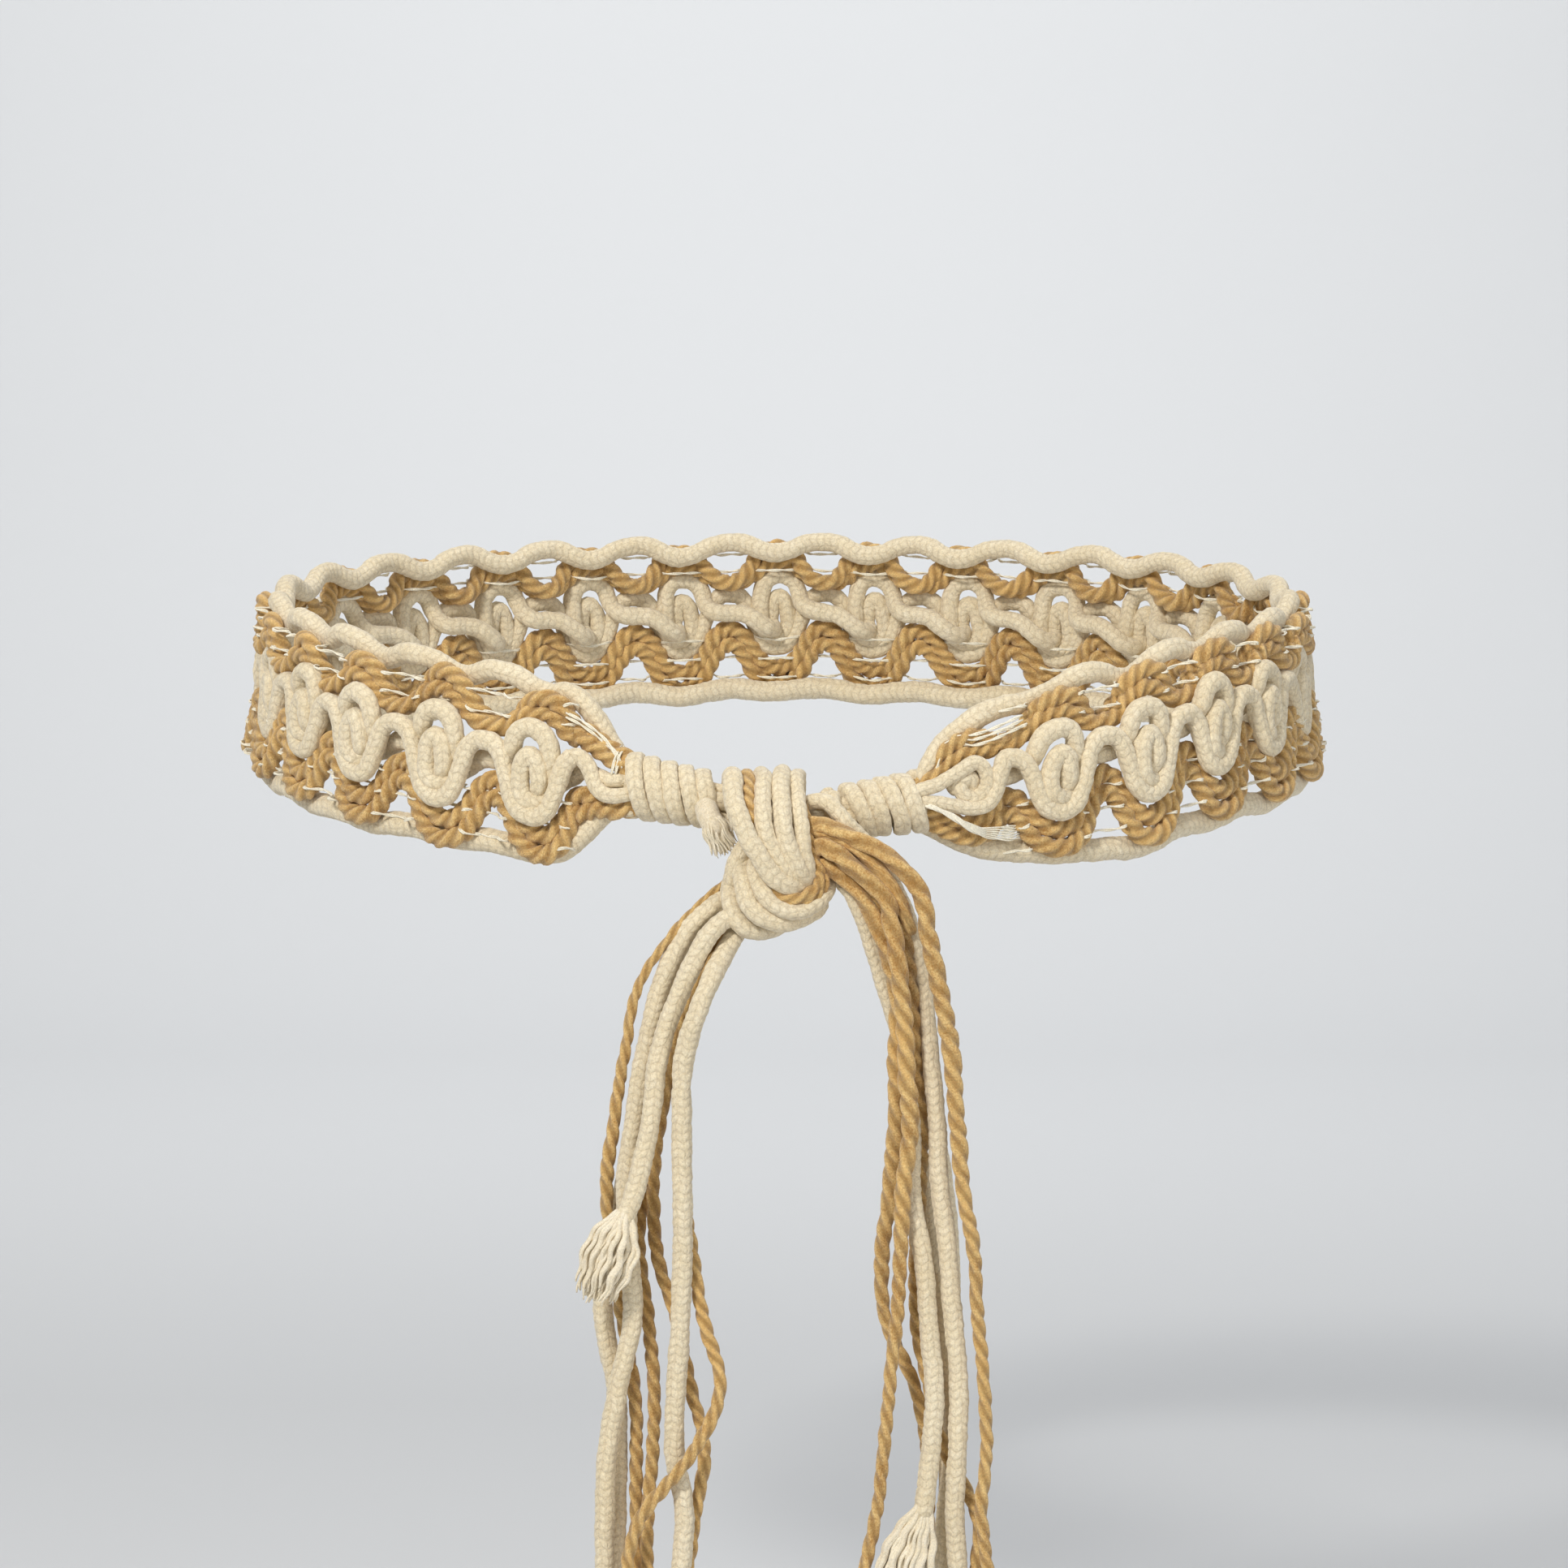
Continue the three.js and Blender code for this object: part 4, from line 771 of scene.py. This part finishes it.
whipping("neck_wrap_left_turns", -35.6, -14.8, 7.8, 6.6, 5.3, 4.0, "neck_wrap_left", 41, lean=0.7)
whipping("neck_wrap_right_turns", 13.6, 31.6, 6.2, 7.5, 4.6, 4.0, "neck_wrap_right", 45, lean=1.3, slack=0.2)

# ---------------------------------------------------------------- the half knot
def strand(build, kind, pts, d, seed, **more):
    """pts rows: pixel x, pixel y, depth y in mm."""
    q = catmull([seen(*p) for p in pts], 10)
    (braided if kind == "cream" else twisted)(build, q, d, seed, **more)


def mixed(build, kind, rows, d, seed, **more):
    """rows: points in mm."""
    (braided if kind == "cream" else twisted)(build, catmull(rows, 10), d, seed, **more)


def over_top(px, lean=0.0):
    """The hidden start of a strand that comes over the top of the knot, in mm."""
    x = seen(px, 950, -104)[0]
    x += 0.4 * math.sin(px)
    top = -13.4 + 0.5 * math.sin(px * 1.7)
    return [(x + lean, -89.6, top - 5.6), (x + lean, -91.8, top - 1.8), (x + lean * 0.6, -95.6, top + 0.1), (x + lean * 0.3, -100.4, top)]


b = Build()
WRAP = [
    (902, 4.6, [(902.7, 957, -105.2), (904, 975, -109.6), (907, 994, -112.6), (911, 1008, -114.0), (922, 1033, -115.2), (935, 1056, -115.4), (950, 1076, -115.0), (968, 1089, -113.8), (984, 1092, -111.4), (996, 1088, -108.0)]),
    (940, 4.0, [(940.3, 960, -104.8), (940, 978, -109.0), (940, 996, -111.8), (942.5, 1019, -113.6), (949, 1041, -114.2), (960, 1060, -113.8), (975, 1077, -112.6), (990, 1086, -110.2), (1000, 1086, -107.0)]),
    (962, 4.3, [(962.5, 964, -104.8), (963, 983, -109.0), (964, 1006, -112.0), (967, 1032, -113.6), (975, 1054, -114.0), (985, 1072, -113.2), (994, 1085, -111.0), (1000, 1090, -107.6)]),
    (981, 3.7, [(981.5, 972, -104.2), (983, 990, -108.0), (985, 1010, -110.6), (989, 1034, -112.2), (993.5, 1058, -112.4), (997, 1078, -110.8), (1000, 1088, -107.4)]),
]
for i, (px, d, rows) in enumerate(WRAP):
    mixed(b, "cream", over_top(px) + [seen(*r) for r in rows], d, 60 + 7 * i, wander=0.3, roll=i)
finish_piece(b.mesh("knot_wrap_strands"), "cream_braided_cord", CREAM, "knot_wrap")
b = Build()
mixed(b, "tan", over_top(921.5) + [seen(921.5, 960, -104.6), seen(922, 978, -108.6), seen(923.5, 996, -111.0), seen(928, 1016, -112.2), seen(937, 1036, -111.8), seen(952, 1056, -109.8), seen(968, 1070, -107.0)], 3.3, 71, pitch=9)
mixed(b, "tan", [seen(985, 985, -103.0), seen(991, 1005, -106.8), seen(996, 1030, -109.2), seen(1001, 1052, -110.4), seen(1008, 1070, -110.8), seen(1011, 1083, -111.2), seen(1004, 1096, -112.4), seen(991, 1105, -113.8), seen(976, 1108, -114.2), seen(961, 1104, -113.8), seen(950, 1094, -112.2), seen(940, 1078, -109.0)], 3.0, 72, pitch=10)
mixed(b, "tan", [seen(1006, 1052, -107.4), seen(1014, 1070, -109.4), seen(1016, 1086, -110.6), seen(1009, 1100, -111.6), seen(996, 1110, -113.0), seen(982, 1114.5, -113.4), seen(966, 1113, -113.2), seen(953, 1103, -112.0), seen(943, 1090, -109.4)], 2.7, 73, pitch=10)
# the loose bundle beside the knot
for i, rows in enumerate((
        [(988, 1014, -106.0), (1004, 1024, -108.4), (1036, 1033, -110.4), (1067, 1055, -111.4), (1095, 1087, -112.0), (1113, 1120, -111.6), (1123, 1150, -109.6)],
        [(986, 1034, -106.0), (1004, 1041, -108.4), (1031, 1050, -110.2), (1058, 1076, -110.8), (1080, 1111, -110.6), (1096, 1147, -109.8), (1106, 1182, -107.6)],
        [(988, 1056, -104.0), (1009, 1056, -106.8), (1035, 1072, -108.2), (1058, 1102, -108.6), (1075, 1137, -108.4), (1088, 1176, -106.6)])):
    mixed(b, "tan", [seen(*r) for r in rows], 3.5, 74 + i, pitch=48, plies=4)
finish_piece(b.mesh("knot_tan_strands"), "tan_twisted_cord", TAN)
b = Build()
LOOPS = [
    (3.9, [(934, 1056, -107.6), (930, 1073, -110.6), (938.5, 1097, -113.2), (951, 1114, -114.2), (972, 1123.5, -114.2), (993, 1119.5, -113.2), (1010, 1108, -111.0), (1019, 1094, -108.0), (1020, 1078, -104.6)]),
    (4.4, [(922, 1050, -105.0), (914, 1070, -108.6), (917, 1094, -111.4), (925, 1115, -113.0), (940, 1131, -113.4), (960, 1137.5, -112.4), (983, 1133, -110.0), (1002, 1122, -107.0), (1012, 1108, -103.6)]),
    (4.4, [(914, 1062, -101.6), (904, 1084, -105.4), (900, 1106, -108.4), (905, 1127, -110.2), (918, 1142, -110.4), (935, 1147, -108.8), (953, 1143, -106.0), (968, 1134, -102.6)]),
    (4.2, [(930, 1028, -104.6), (918, 1044, -107.6), (908, 1062, -108.6), (902, 1082, -107.6), (898, 1100, -105.0), (900, 1116, -101.8)]),
]
for i, (d, rows) in enumerate(LOOPS):
    mixed(b, "cream", [seen(*r) for r in rows], d, 81 + i, wander=0.2, roll=0.8 * i)
finish_piece(b.mesh("knot_loop_strands"), "cream_braided_cord", CREAM, "knot_loop")
# what passes behind: the cords between the necks
b = Build()
for i, (h, n) in enumerate(((1.8, 1.6), (-0.6, 3.4), (-4.2, 1.4), (0.6, -2.4), (-3.4, -2.2))):
    s = np.linspace(-16.5, 16, 14)
    tw = np.linspace(-0.2, 0.5, 14)
    hh, nn = h * np.cos(tw) - n * np.sin(tw), h * np.sin(tw) + n * np.cos(tw)
    braided(b, place(s, hh, nn), 4.2, 90 + i, wander=0.15)
for i, (s0, tilt, r) in enumerate(((8.4, 1.6, 4.6), (11.6, -1.3, 5.0))):
    k = np.linspace(0, 1, 26)
    a = -2 * math.pi * k * 0.9 + math.radians(60)
    braided(b, place(s0 + 2.2 * k + tilt * np.cos(a), r * np.sin(a) - 0.6, r * np.cos(a)), 3.7, 97 + i, wander=0.12)
finish_piece(b.mesh("knot_through_strands"), "cream_braided_cord", CREAM, "knot_through")

# ---------------------------------------------------------------- free ends
LEVELS = [-30, -38, -46, -60, -75, -90, -105, -120, -135, -150, -165, -180]
TAILS = {
    "tail_left_cream_1": dict(first=2, start=(-5.8, -104.3, -41.2), x=[-15.6, -23.2, -28.2, -30.0, -33.6], y=[-111.5, -113.2, -114.9, -116.6, -118.3], end=(-35.9, -120.0, -111.1)),
    "tail_left_cream_2": dict(first=2, start=(-12.1, -103.3, -39.6), x=[-21.0, -27.8, -31.3, -33.8, -35.6, -34.7, -34.2, -37.4, -39.9, -40.5], y=[-108.3, -109.2, -110.2, -111.1, -111.9, -112.8, -113.5, -113.9, -114.1, -114.3], end=(-40.2, -114.4, -203)),
    "tail_left_cream_3": dict(first=2, start=(-9.0, -96.5, -38.0), x=[-16.5, -23.9, -29.7, -33.2, -36.1, -40.5, -40.9, -38.3, -37.7, -38.0], y=[-101.1, -102.0, -102.9, -103.8, -104.6, -105.4, -106.3, -107.2, -108.1, -109.0], end=(-38.6, -109.8, -199)),
    "tail_left_cream_4": dict(first=3, start=(-10.1, -105.1, -46.5), x=[-17.8, -22.3, -22.9, -22.7, -22.8, -23.3, -24.3, -24.6, -22.4], y=[-118.0, -117.8, -117.5, -117.2, -116.9, -116.5, -115.9, -115.4, -117.0], end=(-24.9, -119.4, -205.0)),
    "tail_left_tan_1": dict(first=2, start=(-11.3, -101.0, -35.0), x=[-23.8, -32.9, -35.9, -38.3, -40.0, -38.9, -36.6, -34.0, -33.4, -33.6], y=[-108.8, -109.1, -109.3, -109.4, -109.6, -109.6, -109.3, -109.3, -109.5, -109.6], end=(-34.1, -109.8, -201.0)),
    "tail_left_tan_2": dict(first=2, start=(-3.3, -95.6, -41.6), x=[-9.2, -19.5, -24.6, -27.9, -29.5, -28.6, -24.4, -21.1, -18.0, -20.1], y=[-102.9, -104.4, -105.9, -107.4, -108.6, -109.6, -110.6, -111.5, -112.4, -113.2], end=(-23.8, -114.0, -204)),
    "tail_left_tan_3": dict(first=2, start=(-7.0, -89.8, -39.0), x=[-12.4, -20.8, -26.5, -29.1, -31.4, -32.8, -30.7, -29.5, -29.6, -30.9], y=[-98.5, -100.1, -101.7, -103.3, -104.9, -106.6, -108.3, -109.9, -111.5, -113.0], end=(-30.6, -114.4, -200.0)),
    "tail_left_tan_4": dict(first=3, start=(-7.8, -99.3, -45.5), x=[-18.9, -22.2, -23.3, -22.8, -20.6, -17.9, -14.3, -21.5, -33.0], y=[-104.7, -106.7, -108.8, -110.8, -112.9, -115.1, -117.4, -119.7, -119.8], end=(-36.7, -119.0, -202.0)),
    "tail_right_cream_1": dict(first=1, start=(10.2, -100.6, -34.2), x=[14.8, 18.2, 22.7, 26.9, 28.7, 28.7, 31.2, 32.5, 33.8, 32.8], y=[-107.3, -107.9, -108.4, -109.5, -111.3, -113.1, -114.8, -115.8, -116.9, -118.0], end=(31.3, -119.0, -178.2)),
    "tail_right_cream_2": dict(first=0, start=(13.9, -108.2, -22.6), x=[20.6, 25.2, 28.4, 31.4, 33.0, 34.3, 35.1, 36.9, 38.1, 39.4, 38.9, 38.6], y=[-106.8, -107.0, -107.4, -108.5, -111.1, -113.0, -113.8, -114.6, -115.3, -116.0, -116.7, -116.0], end=(40.1, -114.5, -204.0)),
    "tail_right_cream_3": dict(first=1, start=(12.0, -103.7, -30.0), x=[17.6, 20.4, 24.9, 27.5, 29.3, 31.6, 33.3, 36.1, 37.8, 38.6, 36.7], y=[-106.5, -106.1, -105.8, -105.5, -105.4, -105.7, -106.5, -107.2, -107.7, -108.0, -108.9], end=(36.0, -109.9, -200)),
    "tail_right_cream_4": dict(first=1, start=(15.4, -97.7, -31.0), x=[21.9, 25.3, 29.6, 32.3, 34.0, 36.3, 37.8, 37.9, 37.5, 37.3, 37.4], y=[-103.7, -103.6, -103.5, -103.4, -103.2, -103.1, -102.9, -102.7, -102.8, -103.2, -104.0], end=(37.2, -105.1, -198)),
    "tail_right_tan_1": dict(first=0, start=(9.1, -109.8, -23.2), x=[23.8, 30.5, 32.0, 35.0, 37.6, 38.8, 40.3, 42.7, 43.6, 45.1, 45.4, 44.5], y=[-113.6, -114.2, -114.7, -115.3, -115.8, -116.3, -116.8, -117.2, -117.6, -118.0, -118.4, -118.7], end=(48.1, -119.0, -203.0)),
    "tail_right_tan_2": dict(first=0, start=(9.2, -111.2, -27.6), x=[12.7, 21.9, 24.3, 26.3, 27.3, 28.2, 26.6, 26.1, 25.1, 23.5, 22.3, 20.3], y=[-112.5, -113.4, -114.3, -115.2, -116.1, -116.9, -117.7, -118.2, -118.4, -118.5, -118.7, -118.9], end=(16.2, -119.0, -199.0)),
    "tail_right_tan_3": dict(first=1, start=(9.1, -109.3, -31.6), x=[17.0, 21.2, 25.4, 25.2, 25.2, 23.9, 22.2, 22.9, 29.4, 32.4, 32.9], y=[-111.0, -112.1, -113.2, -113.4, -112.7, -111.8, -110.8, -109.8, -108.7, -107.6, -106.4], end=(32.7, -105.2, -205.0)),
    "tail_right_tan_4": dict(first=0, start=(9.2, -106.2, -25.9), x=[17.2, 23.2, 26.1, 28.3, 29.3, 30.8, 30.4, 29.9, 29.8, 32.7, 36.4, 43.7], y=[-109.0, -109.2, -109.3, -109.5, -109.7, -109.9, -110.0, -109.9, -110.6, -111.4, -112.2, -113.3], end=(42.0, -114.4, -202)),
}
CREAM_D, CREAM_LEFT, TAN_LEFT, TAN_RIGHT = 4.2, 4.5, 3.2, 3.9
# the first stretch, tucked in behind the knot's strands
TUCKED = {
    "tail_right_cream_2": [tuple(seen(986, 1000, -99.0)), tuple(seen(998, 989, -103.4)), tuple(seen(1020, 990, -106.6))],
    "tail_right_tan_1": [(2.6, -103.6, -23.6), (5.8, -107.4, -23.0)],
    "tail_right_tan_2": [(2.6, -104.0, -28.8), (5.8, -108.2, -28.0)],
    "tail_right_tan_3": [(2.8, -103.4, -33.4), (6.0, -106.8, -32.2)],
    "tail_right_tan_4": [(2.8, -100.8, -27.0), (6.0, -104.0, -26.2)],
}


def yarn_fan(b, at, along, spread, length, count, d, seed, flat=0.5, bulge=0.55, crimp=0.35, close=0.15, root=1.6):
    """Loose yarns that open out from a cord's end in clumps. along: unit direction. Points in mm."""
    rng = np.random.default_rng(seed)
    along = np.array(along, float)
    along /= np.linalg.norm(along)
    side = np.cross(along, (0, 1, 0))
    side /= np.linalg.norm(side)
    deep = np.cross(side, along)
    clumps = max(1, count // 6)
    ca, cr, cphase = np.arange(clumps) * 2.399963, np.sqrt((np.arange(clumps) + 0.5) / clumps), rng.uniform(0, 6.28, clumps)
    for i in range(count):
        c = i % clumps
        r = cr[c] * 0.82
        cx, cy = r * math.cos(ca[c]) + rng.uniform(-0.24, 0.24), r * math.sin(ca[c]) + rng.uniform(-0.24, 0.24)
        long = length * rng.uniform(0.78, 1.04) * (1 - 0.12 * cx * cx)
        k = np.linspace(0, 1, 16)
        swell = np.sin(np.minimum(k / bulge, 1) * math.pi / 2) * (1 - close * np.clip((k - bulge) / (1 - bulge), 0, 1) ** 1.5)
        open_ = 1.0 + (spread / root - 1.0) * swell
        phase = cphase[c] + rng.uniform(-0.5, 0.5)
        wave = crimp * np.minimum(1, k * 4)
        x = cx * root * open_ + wave * np.sin(k * long / 6.2 * 2 * math.pi + phase) + rng.uniform(-0.35, 0.35) * k * root
        y = cy * root * (1 + (open_ - 1) * flat) + wave * np.cos(k * long / 7.0 * 2 * math.pi + phase)
        p = np.array(at) + np.outer(k * long - 1.2, along) + np.outer(x, side) + np.outer(y, deep)
        plain(b, catmull(p, 3), d * rng.uniform(0.8, 1.2), step=0.8 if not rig.quick() else 1.6, sides=5, tone=rng.uniform(0, 0.6), taper=([0, 0.75, 1], [1, 0.95, 0.3]), du=1.9)


def tail_line(tail):
    rows = [tail["start"]] + [(x, y, LEVELS[tail["first"] + i]) for i, (x, y) in enumerate(zip(tail["x"], tail["y"]))] + [tail["end"]]
    return catmull(rows, 12)


for i, (name, tail) in enumerate(sorted(TAILS.items())):
    cream, left = "cream" in name, "left" in name
    line = tail_line(tail)
    line = np.vstack([catmull(TUCKED[name] + [tuple(line[0])], 8)[:-1], line]) if name in TUCKED else line
    d = (CREAM_LEFT if left else CREAM_D) if cream else TAN_LEFT if left else TAN_RIGHT
    b = Build()
    if cream:
        p, l = braided(b, line, d, 200 + 9 * i, wander=0.12, roll=i * 0.7, relief=0.24, thin=([0, 0.3, 0.45, 1], [0.88, 0.88, 1.0, 1.06]) if not left else None)
    elif left:
        p, l = twisted(b, line, d, 200 + 9 * i, wander=0.15, pitch=14, thin=([0, 15, 35, 75, 90], [0.62, 0.64, 0.76, 1.04, 1.0]) if name.endswith("1") else None)
    else:
        p, l = twisted(b, line, d, 200 + 9 * i, wander=0.15, lay=([0, 22, 45, 90], [60, 40, 17, 15]), thin=([0, 22, 75, 95, 120, 150], [1.14, 1.12, 1.12, 1.0, 0.84, 0.8]))
    end, toward = p[-1], p[-1] - p[-6]
    fray_node = {"tail_left_cream_1": "fray_left_cream_1", "tail_right_cream_1": "fray_right_cream_1"}.get(name)
    ob = finish_piece(b.mesh("cord" + name[4:]), "cream_braided_cord" if cream else "tan_twisted_cord", CREAM if cream else TAN, name)
    f = Build()
    if fray_node and left:
        yarn_fan(f, end + np.array([-0.3, 0, 1.0]), (-0.36, -0.02, -1), 6.6, 21.0, 90, 1.15, 600, flat=0.45, bulge=0.55, crimp=0.34, close=0.22)
    elif fray_node:
        yarn_fan(f, end + np.array([-0.3, 0, 1.0]), (-0.34, -0.02, -1), 6.6, 24.0, 90, 1.15, 640, flat=0.45, bulge=0.7, crimp=0.3, close=0.2)
    elif cream:  # a short plain fray, below the photo's edge
        yarn_fan(f, end, toward, 2.8, 7.0, 26, 0.75, 500 + i, flat=1.0, bulge=0.8, crimp=0.15)
    else:
        yarn_fan(f, end, toward, 2.0, 5.5, 18, 0.65, 500 + i, flat=1.0, bulge=0.8, crimp=0.1, root=1.2)
    frayed = "fray" + name[4:]
    if cream:
        tip = finish_piece(f.mesh(frayed + "_yarns"), "cream_frayed_fibre", FRAY, *([fray_node] if fray_node else []))
    else:
        tip = finish_piece(f.mesh(frayed + "_yarns"), "tan_twisted_cord", TAN)
    route, length = even(line, 4.0)
    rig.cord(ob, exit=tuple(route[0, :3] * MM), length=float(length[-1] * MM), diameter=d * MM, far_end="bare", stiffness="limp", lay="hanging",
            path=[tuple(q * MM) for q in route[:, :3]], with_pieces=[tip])

# the loose frayed end of the left whipping
b = Build()
stub = catmull([seen(864, 984, -95.0), seen(868, 993, -100.0), seen(873, 1004, -104.4), seen(879, 1016, -106.4), seen(885, 1026, -106.6)], 8)
# painted shade: the stub is drawn darker, as it hangs in shadow
braided(b, stub, 5.2, 301, wander=0.3, tone=0.8)
yarn_fan(b, seen(879, 1015, -106.4), (0.46, 0.02, -1), 3.5, 8.6, 130, 0.55, 700, flat=0.8, bulge=0.5, crimp=0.25, close=0.3, root=2.5)
finish_piece(b.mesh("binding_end_fibres"), "cream_frayed_fibre", FRAY, "binding_end")

# ---------------------------------------------------------------- stage
def stage_mesh():
    me = bpy.data.meshes.new("backdrop")
    xs = (-7.5, 7.5)
    prof = [(-8.0, -0.27)]
    prof += [(1.25 + 0.6 * math.sin(a), -0.27 + 0.6 * (1 - math.cos(a))) for a in np.linspace(0, math.pi / 2, 13)]
    prof += [(1.85, 2.8)]
    verts = [(x, y, z) for y, z in prof for x in xs]
    faces = [(2 * i, 2 * i + 1, 2 * i + 3, 2 * i + 2) for i in range(len(prof) - 1)]
    me.from_pydata(verts, [], faces)
    me.polygons.foreach_set("use_smooth", [True] * len(me.polygons))
    ob = bpy.data.objects.new("backdrop", me)
    bpy.context.scene.collection.objects.link(ob)
    m, nt, bsdf = new_material("backdrop_paper")
    bsdf.inputs["Base Color"].default_value = (0.66, 0.67, 0.68, 1)
    bsdf.inputs["Roughness"].default_value = 0.95
    bsdf.inputs["Specular IOR Level"].default_value = 0.1
    me.materials.append(m)
    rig.stage(ob)
    return ob


stage_mesh()


def area(name, loc, target, size, power, colour=(1, 1, 1)):
    data = bpy.data.lights.new(name, "AREA")
    data.shape, data.size, data.energy, data.color = "DISK", size, power, colour
    ob = bpy.data.objects.new(name, data)
    bpy.context.scene.collection.objects.link(ob)
    ob.location = loc
    ob.rotation_mode = "QUATERNION"
    ob.rotation_quaternion = (Vector(target) - Vector(loc)).to_track_quat("-Z", "Y")


area("key", (-0.75, -1.45, 1.15), (0, -0.08, -0.06), 0.4, 25.0, (1, 0.98, 0.945))
area("fill", (1.1, -1.3, 0.1), (0, -0.05, -0.08), 1.0, 6.0, (0.97, 0.985, 1))
area("top", (0.1, 0.2, 1.5), (0, 0.1, -0.2), 1.2, 8.0)
area("wall", (0, 0.7, 1.0), (0, 1.85, 0.75), 1.0, 11.0)
world = bpy.data.worlds.new("world")
bpy.context.scene.world = world
world.use_nodes = True
world.node_tree.nodes["Background"].inputs[0].default_value = (0.95, 0.97, 1, 1)
world.node_tree.nodes["Background"].inputs[1].default_value = 0.36
bpy.context.scene.view_settings.view_transform = "Standard"

shown_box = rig.bounds()
with open("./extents.json", "w") as f:
    json.dump({"cad": [list(v) for v in cad_box], "visual": [list(v) for v in shown_box]}, f)
